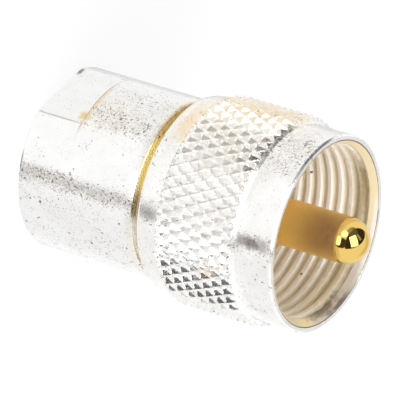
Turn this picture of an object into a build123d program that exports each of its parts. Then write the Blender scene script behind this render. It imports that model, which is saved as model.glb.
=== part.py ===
from build123d import *
import math
import os

# Everything is in millimetres. Z runs along the connector from the cable end to the mating end,
# and the origin is the centre of the rear face.

# Rear shell, the turned barrel that a wrench holds. Its length is that of what it holds.
SHELL_WALL = 1.50
SHELL_EDGE_CHAMFER = 0.20
FLAT_LENGTH = 4.45
FLAT_DEPTH = 0.71

# Cable clamp inside the shell, from the cable end forwards
CABLE_BORE_DIAMETER = 6.50
CABLE_BORE_CHAMFER = 0.30
CLAMP_SEAT_STEP = 0.76
GLAND_RECESS = 0.40
GLAND_LENGTH = 3.50
GLAND_SLOT_WIDTH = 1.60
GLAND_SLOT_DEPTH = 1.30
PRESSURE_WASHER_THICKNESS = 0.70
GASKET_THICKNESS = 2.00
GASKET_GROOVE_DEPTH = 0.60
GASKET_GROOVE_WIDTH = 1.10
BRAID_CLAMP_FLANGE = 2.20
BRAID_CLAMP_BORE_DIAMETER = 4.80
BRAID_CLAMP_NOSE_WALL = 0.60
BRAID_CLAMP_NOSE_LENGTH = 1.30

# Front barrel, which is screwed into the shell and carries the nut and the insulators
SPIGOT_LENGTH = 2.85
NECK_SHOULDER = 0.40
NECK_WALL = 1.25
RING_HEIGHT = 1.00
RING_LENGTH = 1.40
TOOTH_WIDTH = 1.30
TOOTH_HEIGHT = 0.80
TOOTH_RADIAL_DEPTH = 0.80
WEB_HEIGHT = 1.55
BRAID_SEAT_LENGTH = 1.50
BRAID_SEAT_WALL = 0.50
WEB_THICKNESS = 1.30

# Centre contact and its insulators
PIN_DIAMETER = 3.98
PIN_REACH = 14.83
PIN_SHANK_RISE = 0.22
PIN_COLLAR_HEIGHT = 0.44
PIN_COLLAR_LENGTH = 0.80
PIN_TAIL_DIAMETER = 2.56
PIN_TAIL_LENGTH = 3.80
SOLDER_CUP_DIAMETER = 1.40
SOLDER_CUP_DEPTH = 3.00
INSULATOR_RECESS = 0.45

# Thrust washer that shows in the gap behind the nut
THRUST_WASHER_OVERHANG = 0.30
THRUST_WASHER_THICKNESS = 0.55

# Coupling nut
THREAD_MINOR_DIAMETER = 14.90
THREAD_RELIEF_DEPTH = 0.50
THREAD_RELIEF_LENGTH = 3.40
NUT_FLANGE_THICKNESS = 1.55
NUT_LENGTH = 13.50
NUT_REAR_WALL = 0.35
NUT_REAR_BEVEL_RISE = 0.50
NUT_REAR_BEVEL_LENGTH = 0.16
NUT_SHOULDER_RISE = 0.22
NUT_SHOULDER_LENGTH = 0.39
NUT_CONE_RISE = 0.32
NUT_CONE_LENGTH = 1.80
FRONT_BAND_WALL = 1.05
RIM_CHAMFER = 0.17
MOUTH_CHAMFER_DEPTH = 0.50
MOUTH_CHAMFER_LENGTH = 0.70

# Diamond knurl round the nut: rows of pyramids that stand half a column apart
KNURL_COLUMNS = 53
KNURL_ROWS = 7
KNURL_ROW_PITCH = 1.005
KNURL_DEPTH = 0.42
KNURL_RISE = 0.62
KNURL_LEAD_IN = 0.45
KNURL_RUN_OUT = 1.17
KNURL_END_SLOPE = 1.05
KNURL_REAR_STEP = 0.12
KNURL_FRONT_STEP = 0.05
KNURL_OVERLAP = 0.10

# Clearances between pieces
THREAD_CLEARANCE = 0.02
SEAT_CLEARANCE = 0.02
RUNNING_CLEARANCE = 0.06
AXIAL_PLAY = 0.10
RING_CLEARANCE = 0.45
WASHER_BORE_CLEARANCE = 0.20
GASKET_BORE_SQUEEZE = 0.14

# Radii that follow from the sizes above, from the coupling thread inwards
thread_radius = THREAD_MINOR_DIAMETER / 2
ring_radius = thread_radius - RING_CLEARANCE
neck_radius = ring_radius - RING_HEIGHT
spigot_radius = neck_radius - NECK_SHOULDER
spigot_bore_radius = spigot_radius + THREAD_CLEARANCE
shell_bore_radius = spigot_radius + CLAMP_SEAT_STEP
shell_radius = shell_bore_radius + SHELL_WALL
front_bore_radius = neck_radius - NECK_WALL
rear_bore_radius = front_bore_radius - WEB_HEIGHT
cable_bore_radius = CABLE_BORE_DIAMETER / 2
braid_bore_radius = BRAID_CLAMP_BORE_DIAMETER / 2
pin_radius = PIN_DIAMETER / 2
tail_radius = PIN_TAIL_DIAMETER / 2
shank_radius = pin_radius + PIN_SHANK_RISE
collar_radius = shank_radius + PIN_COLLAR_HEIGHT
front_band_radius = thread_radius + FRONT_BAND_WALL
knurl_peak_radius = front_band_radius + KNURL_RISE
knurl_valley_radius = knurl_peak_radius - KNURL_DEPTH
knurl_core_radius = knurl_valley_radius - KNURL_DEPTH
nut_rear_radius = thread_radius + NUT_REAR_WALL
nut_bevel_radius = nut_rear_radius + NUT_REAR_BEVEL_RISE
shoulder_radius = nut_bevel_radius + NUT_SHOULDER_RISE
cone_radius = shoulder_radius + NUT_CONE_RISE

# Heights of the faces that the pieces seat on
gland_rear = GLAND_RECESS
pressure_washer_rear = gland_rear + GLAND_LENGTH
gasket_rear = pressure_washer_rear + PRESSURE_WASHER_THICKNESS
braid_clamp_rear = gasket_rear + GASKET_THICKNESS
spigot_rear = braid_clamp_rear + BRAID_CLAMP_FLANGE
shell_front = spigot_rear + SPIGOT_LENGTH
web_rear = spigot_rear + BRAID_SEAT_LENGTH
web_front = web_rear + WEB_THICKNESS
washer_front = shell_front + THRUST_WASHER_THICKNESS
nut_rear = washer_front + AXIAL_PLAY
flange_front = nut_rear + NUT_FLANGE_THICKNESS
ring_rear = flange_front + AXIAL_PLAY
ring_front = ring_rear + RING_LENGTH
insulator_front = ring_front - INSULATOR_RECESS
collar_front = web_front + PIN_COLLAR_LENGTH
pin_tip = insulator_front + PIN_REACH
nut_front = nut_rear + NUT_LENGTH
bevel_front = nut_rear + NUT_REAR_BEVEL_LENGTH
cone_rear = bevel_front + NUT_SHOULDER_LENGTH
cone_front = cone_rear + NUT_CONE_LENGTH
first_row = cone_front + KNURL_LEAD_IN
last_row = first_row + (KNURL_ROWS - 1) * KNURL_ROW_PITCH
knurl_front = last_row + KNURL_RUN_OUT


def turned(outline):
    """Turn a closed outline, drawn as radius and height, once round the Z axis."""
    return revolve(Plane.XZ * make_face(outline), axis=Axis.Z)


def turned_corners(*corners):
    """Turn a shape whose outline has straight edges only."""
    return turned(Polyline(*corners, close=True))


def shell():
    """The rear barrel: a stepped bore for the clamp and the spigot, and two wrench flats."""
    edge = SHELL_EDGE_CHAMFER
    body = turned_corners(
        (shell_bore_radius, 0),
        (shell_radius - edge, 0),
        (shell_radius, edge),
        (shell_radius, shell_front - edge),
        (shell_radius - edge, shell_front),
        (spigot_bore_radius, shell_front),
        (spigot_bore_radius, spigot_rear),
        (shell_bore_radius, spigot_rear),
    )
    chip = Box(2 * FLAT_DEPTH, 2 * shell_radius, 2 * FLAT_LENGTH)
    return body - Pos(shell_radius, 0, 0) * chip - Pos(-shell_radius, 0, 0) * chip


def gland_nut():
    """The clamping nut in the shell's rear, with a slot across it for a spanner."""
    outer = shell_bore_radius - THREAD_CLEARANCE
    body = turned_corners(
        (cable_bore_radius + CABLE_BORE_CHAMFER, gland_rear),
        (outer, gland_rear),
        (outer, pressure_washer_rear),
        (cable_bore_radius, pressure_washer_rear),
        (cable_bore_radius, gland_rear + CABLE_BORE_CHAMFER),
    )
    slot = Box(2 * shell_radius, GLAND_SLOT_WIDTH, 2 * GLAND_SLOT_DEPTH)
    return body - Pos(0, 0, gland_rear) * slot


def pressure_washer():
    """The flat washer between the gland nut and the gasket."""
    return turned_corners(
        (cable_bore_radius + WASHER_BORE_CLEARANCE, pressure_washer_rear),
        (shell_bore_radius - THREAD_CLEARANCE, pressure_washer_rear),
        (shell_bore_radius - THREAD_CLEARANCE, gasket_rear),
        (cable_bore_radius + WASHER_BORE_CLEARANCE, gasket_rear),
    )


def cable_gasket():
    """The rubber gasket, with a V groove in its front face that the clamp squeezes."""
    inner = cable_bore_radius - GASKET_BORE_SQUEEZE
    outer = shell_bore_radius - THREAD_CLEARANCE
    middle = (inner + outer) / 2
    return turned_corners(
        (inner, gasket_rear),
        (outer, gasket_rear),
        (outer, braid_clamp_rear),
        (middle + GASKET_GROOVE_WIDTH / 2, braid_clamp_rear),
        (middle, braid_clamp_rear - GASKET_GROOVE_DEPTH),
        (middle - GASKET_GROOVE_WIDTH / 2, braid_clamp_rear),
        (inner, braid_clamp_rear),
    )


def braid_clamp():
    """The collar that seats on the shell's step, with a nose that spreads the cable's braid."""
    outer = shell_bore_radius - THREAD_CLEARANCE
    nose_tip_radius = braid_bore_radius + BRAID_CLAMP_NOSE_WALL
    nose_root_radius = min(
        spigot_radius - BRAID_SEAT_WALL - SEAT_CLEARANCE,
        nose_tip_radius + BRAID_CLAMP_NOSE_LENGTH,
    )
    return turned_corners(
        (braid_bore_radius, braid_clamp_rear),
        (outer, braid_clamp_rear),
        (outer, spigot_rear),
        (nose_root_radius, spigot_rear),
        (nose_tip_radius, spigot_rear + BRAID_CLAMP_NOSE_LENGTH),
        (braid_bore_radius, spigot_rear + BRAID_CLAMP_NOSE_LENGTH),
    )


def front_barrel():
    """The plated barrel through the nut: spigot, neck, front ring and two locating teeth."""
    body = turned_corners(
        (spigot_radius - BRAID_SEAT_WALL, spigot_rear),
        (spigot_radius, spigot_rear),
        (spigot_radius, shell_front),
        (neck_radius, shell_front),
        (neck_radius, ring_rear),
        (ring_radius, ring_rear),
        (ring_radius, ring_front),
        (front_bore_radius, ring_front),
        (front_bore_radius, web_front),
        (rear_bore_radius, web_front),
        (rear_bore_radius, web_rear),
    )
    tooth_ring = turned_corners(
        (ring_radius - TOOTH_RADIAL_DEPTH, ring_rear),
        (ring_radius, ring_rear),
        (ring_radius, ring_front + TOOTH_HEIGHT),
        (ring_radius - TOOTH_RADIAL_DEPTH, ring_front + TOOTH_HEIGHT),
    )
    tooth_bar = Box(2 * ring_radius, TOOTH_WIDTH, 2 * (RING_LENGTH + TOOTH_HEIGHT))
    return body + (tooth_ring & Pos(0, 0, ring_front) * tooth_bar)


def rear_insulator():
    """The bead behind the contact's collar, in the barrel's web."""
    outer = rear_bore_radius - SEAT_CLEARANCE
    inner = tail_radius + SEAT_CLEARANCE
    return turned_corners((inner, web_rear), (outer, web_rear), (outer, web_front), (inner, web_front))


def front_insulator():
    """The insulator that holds the contact, with a counterbore for the contact's collar."""
    outer = front_bore_radius - SEAT_CLEARANCE
    collar_bore = collar_radius + SEAT_CLEARANCE
    shank_bore = shank_radius + SEAT_CLEARANCE
    return turned_corners(
        (collar_bore, web_front),
        (outer, web_front),
        (outer, insulator_front),
        (shank_bore, insulator_front),
        (shank_bore, collar_front),
        (collar_bore, collar_front),
    )


def contact_pin():
    """The contact: round nose, straight pin, shank, collar, and a tail with a solder cup."""
    tail_rear = web_front - PIN_TAIL_LENGTH
    cup_radius = SOLDER_CUP_DIAMETER / 2
    nose_centre = pin_tip - pin_radius
    sides = Polyline(
        (0, pin_tip),
        (0, tail_rear + SOLDER_CUP_DEPTH),
        (cup_radius, tail_rear + SOLDER_CUP_DEPTH),
        (cup_radius, tail_rear),
        (tail_radius, tail_rear),
        (tail_radius, web_front),
        (collar_radius, web_front),
        (collar_radius, collar_front),
        (shank_radius, collar_front),
        (shank_radius, insulator_front),
        (pin_radius, insulator_front),
        (pin_radius, nose_centre),
    )
    nose = CenterArc((0, nose_centre), pin_radius, 0, 90)
    return turned([*sides.edges(), nose])


def thrust_washer():
    """The brass washer that the nut pulls against, seen in the gap behind the nut."""
    inner = neck_radius + SEAT_CLEARANCE
    outer = ring_radius + THRUST_WASHER_OVERHANG
    return turned_corners(
        (inner, shell_front), (outer, shell_front), (outer, washer_front), (inner, washer_front)
    )


def nut_blank():
    """The coupling nut's outside as a solid turned bar, with a core where the knurl goes."""
    return turned_corners(
        (0, nut_rear),
        (nut_rear_radius, nut_rear),
        (nut_bevel_radius, bevel_front),
        (shoulder_radius, cone_rear),
        (cone_radius, cone_front),
        (knurl_core_radius, cone_front),
        (knurl_core_radius, knurl_front),
        (front_band_radius, knurl_front),
        (front_band_radius, nut_front - RIM_CHAMFER),
        (front_band_radius - RIM_CHAMFER, nut_front),
        (0, nut_front),
    )


def nut_bore():
    """The space inside the nut: flange bore, thread relief, thread at its minor diameter, mouth."""
    flange_bore_radius = neck_radius + RUNNING_CLEARANCE
    relief_radius = thread_radius + THREAD_RELIEF_DEPTH
    relief_front = flange_front + THREAD_RELIEF_LENGTH
    return turned_corners(
        (0, nut_rear),
        (flange_bore_radius, nut_rear),
        (flange_bore_radius, flange_front),
        (relief_radius, flange_front),
        (relief_radius, relief_front - THREAD_RELIEF_DEPTH),
        (thread_radius, relief_front),
        (thread_radius, nut_front - MOUTH_CHAMFER_LENGTH),
        (thread_radius + MOUTH_CHAMFER_DEPTH, nut_front),
        (0, nut_front),
    )


def knurl_corners(row):
    """Height and radius of the tips and of the groove crossings in one ring of the pattern. The
    first and last rings lie sunk in the nut's cone and front band, and the last but one is where
    the chamfer at the knurl's front end cuts the pyramids and the grooves."""
    flank = KNURL_DEPTH / KNURL_ROW_PITCH
    chamfer_foot = front_band_radius - KNURL_FRONT_STEP
    if row == 0:
        sunk = (cone_front - KNURL_OVERLAP, cone_radius - KNURL_REAR_STEP)
        return sunk, sunk
    if row <= KNURL_ROWS:
        height = first_row + (row - 1) * KNURL_ROW_PITCH
        return (height, knurl_peak_radius), (height, knurl_valley_radius)
    if row == KNURL_ROWS + 1:
        chamfer_start = chamfer_foot + KNURL_END_SLOPE * KNURL_RUN_OUT
        tip_run = (chamfer_start - knurl_valley_radius) / (KNURL_END_SLOPE + flank)
        crossing_run = (chamfer_start - knurl_peak_radius) / (KNURL_END_SLOPE - flank)
        tip = (last_row + tip_run, knurl_valley_radius + flank * tip_run)
        return tip, (last_row + crossing_run, knurl_peak_radius - flank * crossing_run)
    sunk = (knurl_front + KNURL_OVERLAP, chamfer_foot - KNURL_END_SLOPE * KNURL_OVERLAP)
    return sunk, sunk


def knurl_ring(row):
    """The corners of one ring: tips and crossings take turns round it and from ring to ring."""
    tip, crossing = knurl_corners(row)
    ring = []
    for column in range(2 * KNURL_COLUMNS):
        height, radius = tip if (column + row) % 2 == 0 else crossing
        angle = math.pi * column / KNURL_COLUMNS
        ring.append(Vector(radius * math.cos(angle), radius * math.sin(angle), height))
    return ring


def knurl():
    """The knurled bar: each cell between two rings is folded along the groove that crosses it."""
    rings = [knurl_ring(row) for row in range(KNURL_ROWS + 3)]
    faces = [Face(Wire.make_polygon(rings[0])), Face(Wire.make_polygon(rings[-1]))]
    for row, (lower, upper) in enumerate(zip(rings, rings[1:])):
        for column in range(2 * KNURL_COLUMNS):
            beside = (column + 1) % (2 * KNURL_COLUMNS)
            near_pair, beside_pair = (lower[column], upper[beside]), (lower[beside], upper[column])
            starts_on_tip = (column + row) % 2 == 0
            tips, fold = (near_pair, beside_pair) if starts_on_tip else (beside_pair, near_pair)
            faces += [Face(Wire.make_polygon([tip, *fold])) for tip in tips]
    return Solid(Shell(faces))


def coupling_nut():
    """The captive nut: a turned outside with a band of diamond knurl, bored for neck and thread."""
    return nut_blank() + knurl() - nut_bore()


PIECES = {
    "rear_shell": shell,
    "gland_nut": gland_nut,
    "pressure_washer": pressure_washer,
    "cable_gasket": cable_gasket,
    "braid_clamp": braid_clamp,
    "front_barrel": front_barrel,
    "rear_insulator": rear_insulator,
    "front_insulator": front_insulator,
    "contact_pin": contact_pin,
    "thrust_washer": thrust_washer,
    "coupling_nut": coupling_nut,
}

os.makedirs("parts", exist_ok=True)
for name, make in PIECES.items():
    export_step(make(), f"parts/{name}.step")
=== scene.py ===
"""Looks of a straight coaxial plug: knurled coupling nut, plain barrel, round-nosed gold contact.

Sizes in this script are in millimetres, and SCALE turns them into the frame's metres. The row
frame has its origin at the centre of the rear face and +Z along the plug to its mating end.
"""

import logging
import math
from dataclasses import dataclass, field
from enum import Enum
from functools import cached_property
from typing import Callable, Optional, Sequence, Union

import bmesh
import bpy
from mathutils import Matrix, Vector


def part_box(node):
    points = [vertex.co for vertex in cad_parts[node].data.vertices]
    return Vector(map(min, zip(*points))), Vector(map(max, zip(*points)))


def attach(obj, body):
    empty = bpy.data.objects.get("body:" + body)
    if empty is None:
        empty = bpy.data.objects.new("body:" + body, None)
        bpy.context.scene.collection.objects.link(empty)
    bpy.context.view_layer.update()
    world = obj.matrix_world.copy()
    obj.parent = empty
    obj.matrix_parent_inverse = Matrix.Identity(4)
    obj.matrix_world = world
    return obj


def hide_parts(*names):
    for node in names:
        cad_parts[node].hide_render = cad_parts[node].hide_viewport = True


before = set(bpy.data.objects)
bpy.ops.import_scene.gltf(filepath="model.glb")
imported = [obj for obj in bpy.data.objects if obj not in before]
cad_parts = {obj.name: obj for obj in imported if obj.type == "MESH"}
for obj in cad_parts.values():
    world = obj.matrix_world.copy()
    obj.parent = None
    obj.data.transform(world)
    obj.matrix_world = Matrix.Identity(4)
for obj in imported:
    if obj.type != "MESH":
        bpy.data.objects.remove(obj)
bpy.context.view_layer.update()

SCALE = 0.001
log = logging.getLogger("plug")

# Sizes that a piece shares with its finish, in millimetres
MINOR_RADIUS = 7.45
BAND_RADIUS = 8.5
PIN_RADIUS = 1.99

Socket = bpy.types.NodeSocket
Value = Union[float, Socket]
Colour = tuple[float, float, float]


class Mix(Enum):
    """How one colour goes over another."""

    OVER = "MIX"
    TIMES = "MULTIPLY"


class Lightness(Enum):
    """For camera rays: the background's strength and the share of the floor that glows."""

    BACKDROP = 1.0
    FLOOR_GLOW = 0.85


# Shader building


class Sketch:
    """Adds nodes to one node tree and joins them."""

    def __init__(self, tree: bpy.types.NodeTree) -> None:
        """Keep the tree that the nodes go into.

        Args:
            tree: The node tree of a material, a world or a group.
        """
        self.tree = tree

    def node(self, kind: str, **settings: object) -> bpy.types.Node:
        """Add a node.

        Args:
            kind: Blender's name for the node.
            **settings: Values of the node's own properties.

        Returns:
            The new node.
        """
        made = self.tree.nodes.new(kind)
        for name, value in settings.items():
            setattr(made, name, value)
        return made

    def feed(self, target: Socket, value: object) -> None:
        """Join a socket to an input, or write a plain value on it.

        Args:
            target: The input socket.
            value: A socket, a number, a colour or a vector.
        """
        if isinstance(value, bpy.types.NodeSocket):
            self.tree.links.new(value, target)
        elif isinstance(value, tuple) and len(value) == 3 and target.type == "RGBA":
            target.default_value = (*value, 1.0)
        else:
            target.default_value = value

    def math(self, operation: str, *values: Value, clamp: bool = False) -> Socket:
        """Work out one number from others.

        Args:
            operation: Blender's name for the sum.
            *values: Sockets or numbers.
            clamp: Whether the result stays between 0 and 1.

        Returns:
            The result's socket.
        """
        made = self.node("ShaderNodeMath", operation=operation, use_clamp=clamp)
        for target, value in zip(made.inputs, values):
            self.feed(target, value)
        return made.outputs[0]

    def rest(self, value: Value, clamp: bool = False) -> Socket:
        """Return what is left of 1 without a value."""
        return self.math("SUBTRACT", 1.0, value, clamp=clamp)

    def plus(self, base: Value, value: Value, share: Value) -> Socket:
        """Return a value with a share of another added to it."""
        return self.math("ADD", base, self.math("MULTIPLY", value, share))

    def centred(self, noise: Socket) -> Socket:
        """Return noise around 0 that was around 0.5."""
        return self.math("SUBTRACT", noise, 0.5)

    def step(self, value: Socket, edge: float, fade: float) -> Socket:
        """Return 0 before an edge and 1 after it, or the reverse where fade is negative."""
        return self.ramp(value, edge - fade, edge + fade)

    def vector(self, operation: str, *values: object) -> bpy.types.Node:
        """Work out a vector, or a number from vectors.

        Args:
            operation: Blender's name for the sum.
            *values: Sockets or vectors.

        Returns:
            The node, whose outputs are Vector and Value.
        """
        made = self.node("ShaderNodeVectorMath", operation=operation)
        for target, value in zip(made.inputs, values):
            self.feed(target, value)
        return made

    def ramp(self, value: Value, low: Value, high: Value, smooth: bool = True) -> Socket:
        """Turn a value that runs from low to high into one that runs from 0 to 1.

        Args:
            value: The socket or number to read.
            low: Where the result is 0.
            high: Where the result is 1.
            smooth: Whether it eases in and out.

        Returns:
            The result's socket.
        """
        kind = "SMOOTHSTEP" if smooth else "LINEAR"
        made = self.node("ShaderNodeMapRange", interpolation_type=kind, clamp=True)
        for name, given in (("Value", value), ("From Min", low), ("From Max", high)):
            self.feed(made.inputs[name], given)
        return made.outputs["Result"]

    def mix(self, amount: Value, base: object, top: object, way: Mix = Mix.OVER) -> Socket:
        """Lay one colour over another.

        Args:
            amount: How much of the top colour shows.
            base: The colour under it.
            top: The colour over it.
            way: How the two combine.

        Returns:
            The mixed colour's socket.
        """
        made = self.node("ShaderNodeMix", data_type="RGBA", blend_type=way.value)
        colours = [s for s in made.inputs if s.type == "RGBA"]
        self.feed(made.inputs[0], amount)
        self.feed(colours[0], base)
        self.feed(colours[1], top)
        return next(s for s in made.outputs if s.type == "RGBA")

    def noise(self, place: object, scale: Value, detail: float = 2.0, rough: float = 0.5) -> Socket:
        """Read cloudy noise.

        Args:
            place: The socket of the point, in millimetres.
            scale: Clouds to the millimetre.
            detail: How many finer layers are added.
            rough: How strong the finer layers are.

        Returns:
            The socket of a value around 0.5.
        """
        made = self.node("ShaderNodeTexNoise")
        for name, given in (("Vector", place), ("Scale", scale), ("Detail", detail)):
            self.feed(made.inputs[name], given)
        made.inputs["Roughness"].default_value = rough
        return made.outputs["Fac"]


class Effect:
    """A node group for one effect, built the first time that a material asks for it."""

    built: dict[str, bpy.types.NodeTree] = {}
    title = "effect"
    takes: dict[str, str] = {}
    gives: dict[str, str] = {}

    def tree(self) -> bpy.types.NodeTree:
        """Build the group's node tree, or find it if it is there.

        Returns:
            The tree, the same one each time.
        """
        if self.title in Effect.built:
            return Effect.built[self.title]
        tree = bpy.data.node_groups.new(self.title, "ShaderNodeTree")
        for way, sockets in (("INPUT", self.takes), ("OUTPUT", self.gives)):
            for name, kind in sockets.items():
                tree.interface.new_socket(name, in_out=way, socket_type=f"NodeSocket{kind}")
        sketch = Sketch(tree)
        entry, leave = sketch.node("NodeGroupInput"), sketch.node("NodeGroupOutput")
        for name, value in self.draw(sketch, entry.outputs).items():
            sketch.feed(leave.inputs[name], value)
        Effect.built[self.title] = tree
        return tree

    def draw(self, sketch: Sketch, given: bpy.types.NodeOutputs) -> dict[str, Socket]:
        """Draw the group's inside.

        Args:
            sketch: Adds nodes to the group.
            given: The group's input values.

        Returns:
            The value for each output, by name.
        """
        raise NotImplementedError

    def place(self, sketch: Sketch, **values: object) -> bpy.types.NodeOutputs:
        """Put the group in a material.

        Args:
            sketch: Adds nodes to the material.
            **values: A value for each input, by its name with _ for a space.

        Returns:
            The group's outputs.
        """
        made = sketch.node("ShaderNodeGroup", node_tree=self.tree())
        for name, value in values.items():
            sketch.feed(made.inputs[name.replace("_", " ")], value)
        return made.outputs


class Whereabouts(Effect):
    """Where a point of the surface lies: in millimetres, and round and along the plug's axis."""

    title = "whereabouts"
    takes = {"Object Point": "Vector"}
    gives = {"Point": "Vector", "Azimuth": "Float", "Radius": "Float", "Height": "Float"}

    def draw(self, sketch: Sketch, given: bpy.types.NodeOutputs) -> dict[str, Socket]:
        """Split the point into azimuth in degrees, radius and height.

        Args:
            sketch: Adds nodes to the group.
            given: The group's input values.

        Returns:
            The point in millimetres, and its azimuth, radius and height.
        """
        point = sketch.vector("SCALE", given["Object Point"])
        point.inputs["Scale"].default_value = 1 / SCALE
        parts = sketch.node("ShaderNodeSeparateXYZ")
        sketch.feed(parts.inputs[0], point.outputs[0])
        x, y, height = parts.outputs
        turn = sketch.math("ARCTAN2", y, x)
        square = sketch.math("ADD", sketch.math("MULTIPLY", x, x), sketch.math("MULTIPLY", y, y))
        return {
            "Point": point.outputs[0],
            "Azimuth": sketch.math("DEGREES", turn),
            "Radius": sketch.math("SQRT", square),
            "Height": height,
        }


class Patch(Effect):
    """A soft-edged, ragged patch round a given azimuth and height."""

    title = "patch"
    takes = {
        "Azimuth": "Float",
        "Height": "Float",
        "Centre Azimuth": "Float",
        "Centre Height": "Float",
        "Half Azimuth": "Float",
        "Half Height": "Float",
        "Softness": "Float",
        "Ragged": "Float",
        "Noise": "Float",
    }
    gives = {"Mask": "Float"}
    squareness = 3.0

    def draw(self, sketch: Sketch, given: bpy.types.NodeOutputs) -> dict[str, Socket]:
        """Measure how far the point is from the centre, as a share of the patch's half sizes.

        Args:
            sketch: Adds nodes to the group.
            given: The group's input values.

        Returns:
            The mask, 1 inside the patch and 0 outside it.
        """
        turned = sketch.math("SUBTRACT", given["Azimuth"], given["Centre Azimuth"])
        turned = sketch.math("WRAP", turned, 180.0, -180.0)
        across = sketch.math("DIVIDE", turned, given["Half Azimuth"])
        along = sketch.math("SUBTRACT", given["Height"], given["Centre Height"])
        along = sketch.math("DIVIDE", along, given["Half Height"])
        across = sketch.math("POWER", sketch.math("ABSOLUTE", across), self.squareness)
        along = sketch.math("POWER", sketch.math("ABSOLUTE", along), self.squareness)
        far = sketch.math("POWER", sketch.math("ADD", across, along), 1 / self.squareness)
        far = sketch.plus(far, sketch.centred(given["Noise"]), given["Ragged"])
        soft = given["Softness"]
        outer = sketch.math("ADD", 1.0, soft)
        inner = sketch.rest(soft)
        return {"Mask": sketch.ramp(far, outer, inner)}


class Pits(Effect):
    """Small dark pits in the plating, in clusters."""

    title = "pits"
    takes = {"Point": "Vector", "Scale": "Float", "Amount": "Float", "Cluster": "Float"}
    gives = {"Mask": "Float", "Height": "Float"}
    cluster_lift = 0.35
    edge_level = 0.70
    edge_drop = 0.22
    edge_width = 0.06

    def draw(self, sketch: Sketch, given: bpy.types.NodeOutputs) -> dict[str, Socket]:
        """Keep the dark ends of a fine noise where a coarse one lets them through.

        Args:
            sketch: Adds nodes to the group.
            given: The group's input values.

        Returns:
            The pits' mask and the height of the surface.
        """
        fine = sketch.noise(given["Point"], given["Scale"], rough=0.6)
        coarse = sketch.noise(given["Point"], given["Cluster"], rough=0.6)
        level = sketch.plus(fine, sketch.centred(coarse), self.cluster_lift)
        drop = sketch.math("MULTIPLY", given["Amount"], self.edge_drop)
        edge = sketch.math("SUBTRACT", self.edge_level, drop)
        mask = sketch.ramp(level, edge, sketch.math("ADD", edge, self.edge_width))
        return {"Mask": mask, "Height": sketch.rest(mask)}


class Scratches(Effect):
    """Short fine scratches: straight where one part of Stretch is small, and curled otherwise."""

    title = "scratches"
    takes = {
        "Point": "Vector",
        "Scale": "Float",
        "Amount": "Float",
        "Turn": "Float",
        "Stretch": "Vector",
        "Gaps": "Float",
        "Width": "Float",
    }
    gives = {"Mask": "Float"}
    axis = (0.35, 0.72, 0.6)
    core_share = 0.3
    gap_level = 0.80
    gap_drop = 0.4
    gap_width = 0.05

    def draw(self, sketch: Sketch, given: bpy.types.NodeOutputs) -> dict[str, Socket]:
        """Cut noise into thin lines, stretched along one direction, and break them up.

        Args:
            sketch: Adds nodes to the group.
            given: The group's input values.

        Returns:
            The scratches' mask.
        """
        turned = sketch.node("ShaderNodeVectorRotate", rotation_type="AXIS_ANGLE")
        turned.inputs["Axis"].default_value = self.axis
        sketch.feed(turned.inputs["Vector"], given["Point"])
        sketch.feed(turned.inputs["Angle"], given["Turn"])
        drawn = sketch.vector("MULTIPLY", turned.outputs[0], given["Stretch"]).outputs[0]
        lines = sketch.noise(drawn, given["Scale"], detail=1.0)
        thin = sketch.math("ABSOLUTE", sketch.centred(lines))
        core = sketch.math("MULTIPLY", given["Width"], self.core_share)
        line = sketch.ramp(thin, given["Width"], core)
        gaps = sketch.noise(given["Point"], given["Gaps"])
        drop = sketch.math("MULTIPLY", given["Amount"], self.gap_drop)
        limit = sketch.math("SUBTRACT", self.gap_level, drop)
        kept = sketch.ramp(gaps, limit, sketch.math("ADD", limit, self.gap_width))
        return {"Mask": sketch.math("MULTIPLY", line, kept)}


class LatheMarks(Effect):
    """Fine turning marks: rings of slightly different height along the axis."""

    title = "lathe_marks"
    takes = {"Point": "Vector", "Rings": "Float"}
    gives = {"Height": "Float"}
    squash = (0.02, 0.02, 1.0)

    def draw(self, sketch: Sketch, given: bpy.types.NodeOutputs) -> dict[str, Socket]:
        """Squash noise into rings that wander a little round the axis."""
        flat = sketch.vector("MULTIPLY", given["Point"], self.squash).outputs[0]
        return {"Height": sketch.noise(flat, given["Rings"])}


# Finishes


@dataclass(frozen=True)
class PatchSpec:
    """Where a patch on the surface lies, in degrees round the axis and millimetres along it."""

    azimuth: float
    height: float
    half_azimuth: float
    half_height: float
    softness: float = 0.5
    ragged: float = 1.2
    strength: float = 1.0
    colour: Colour = (0.5, 0.5, 0.5)


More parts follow.
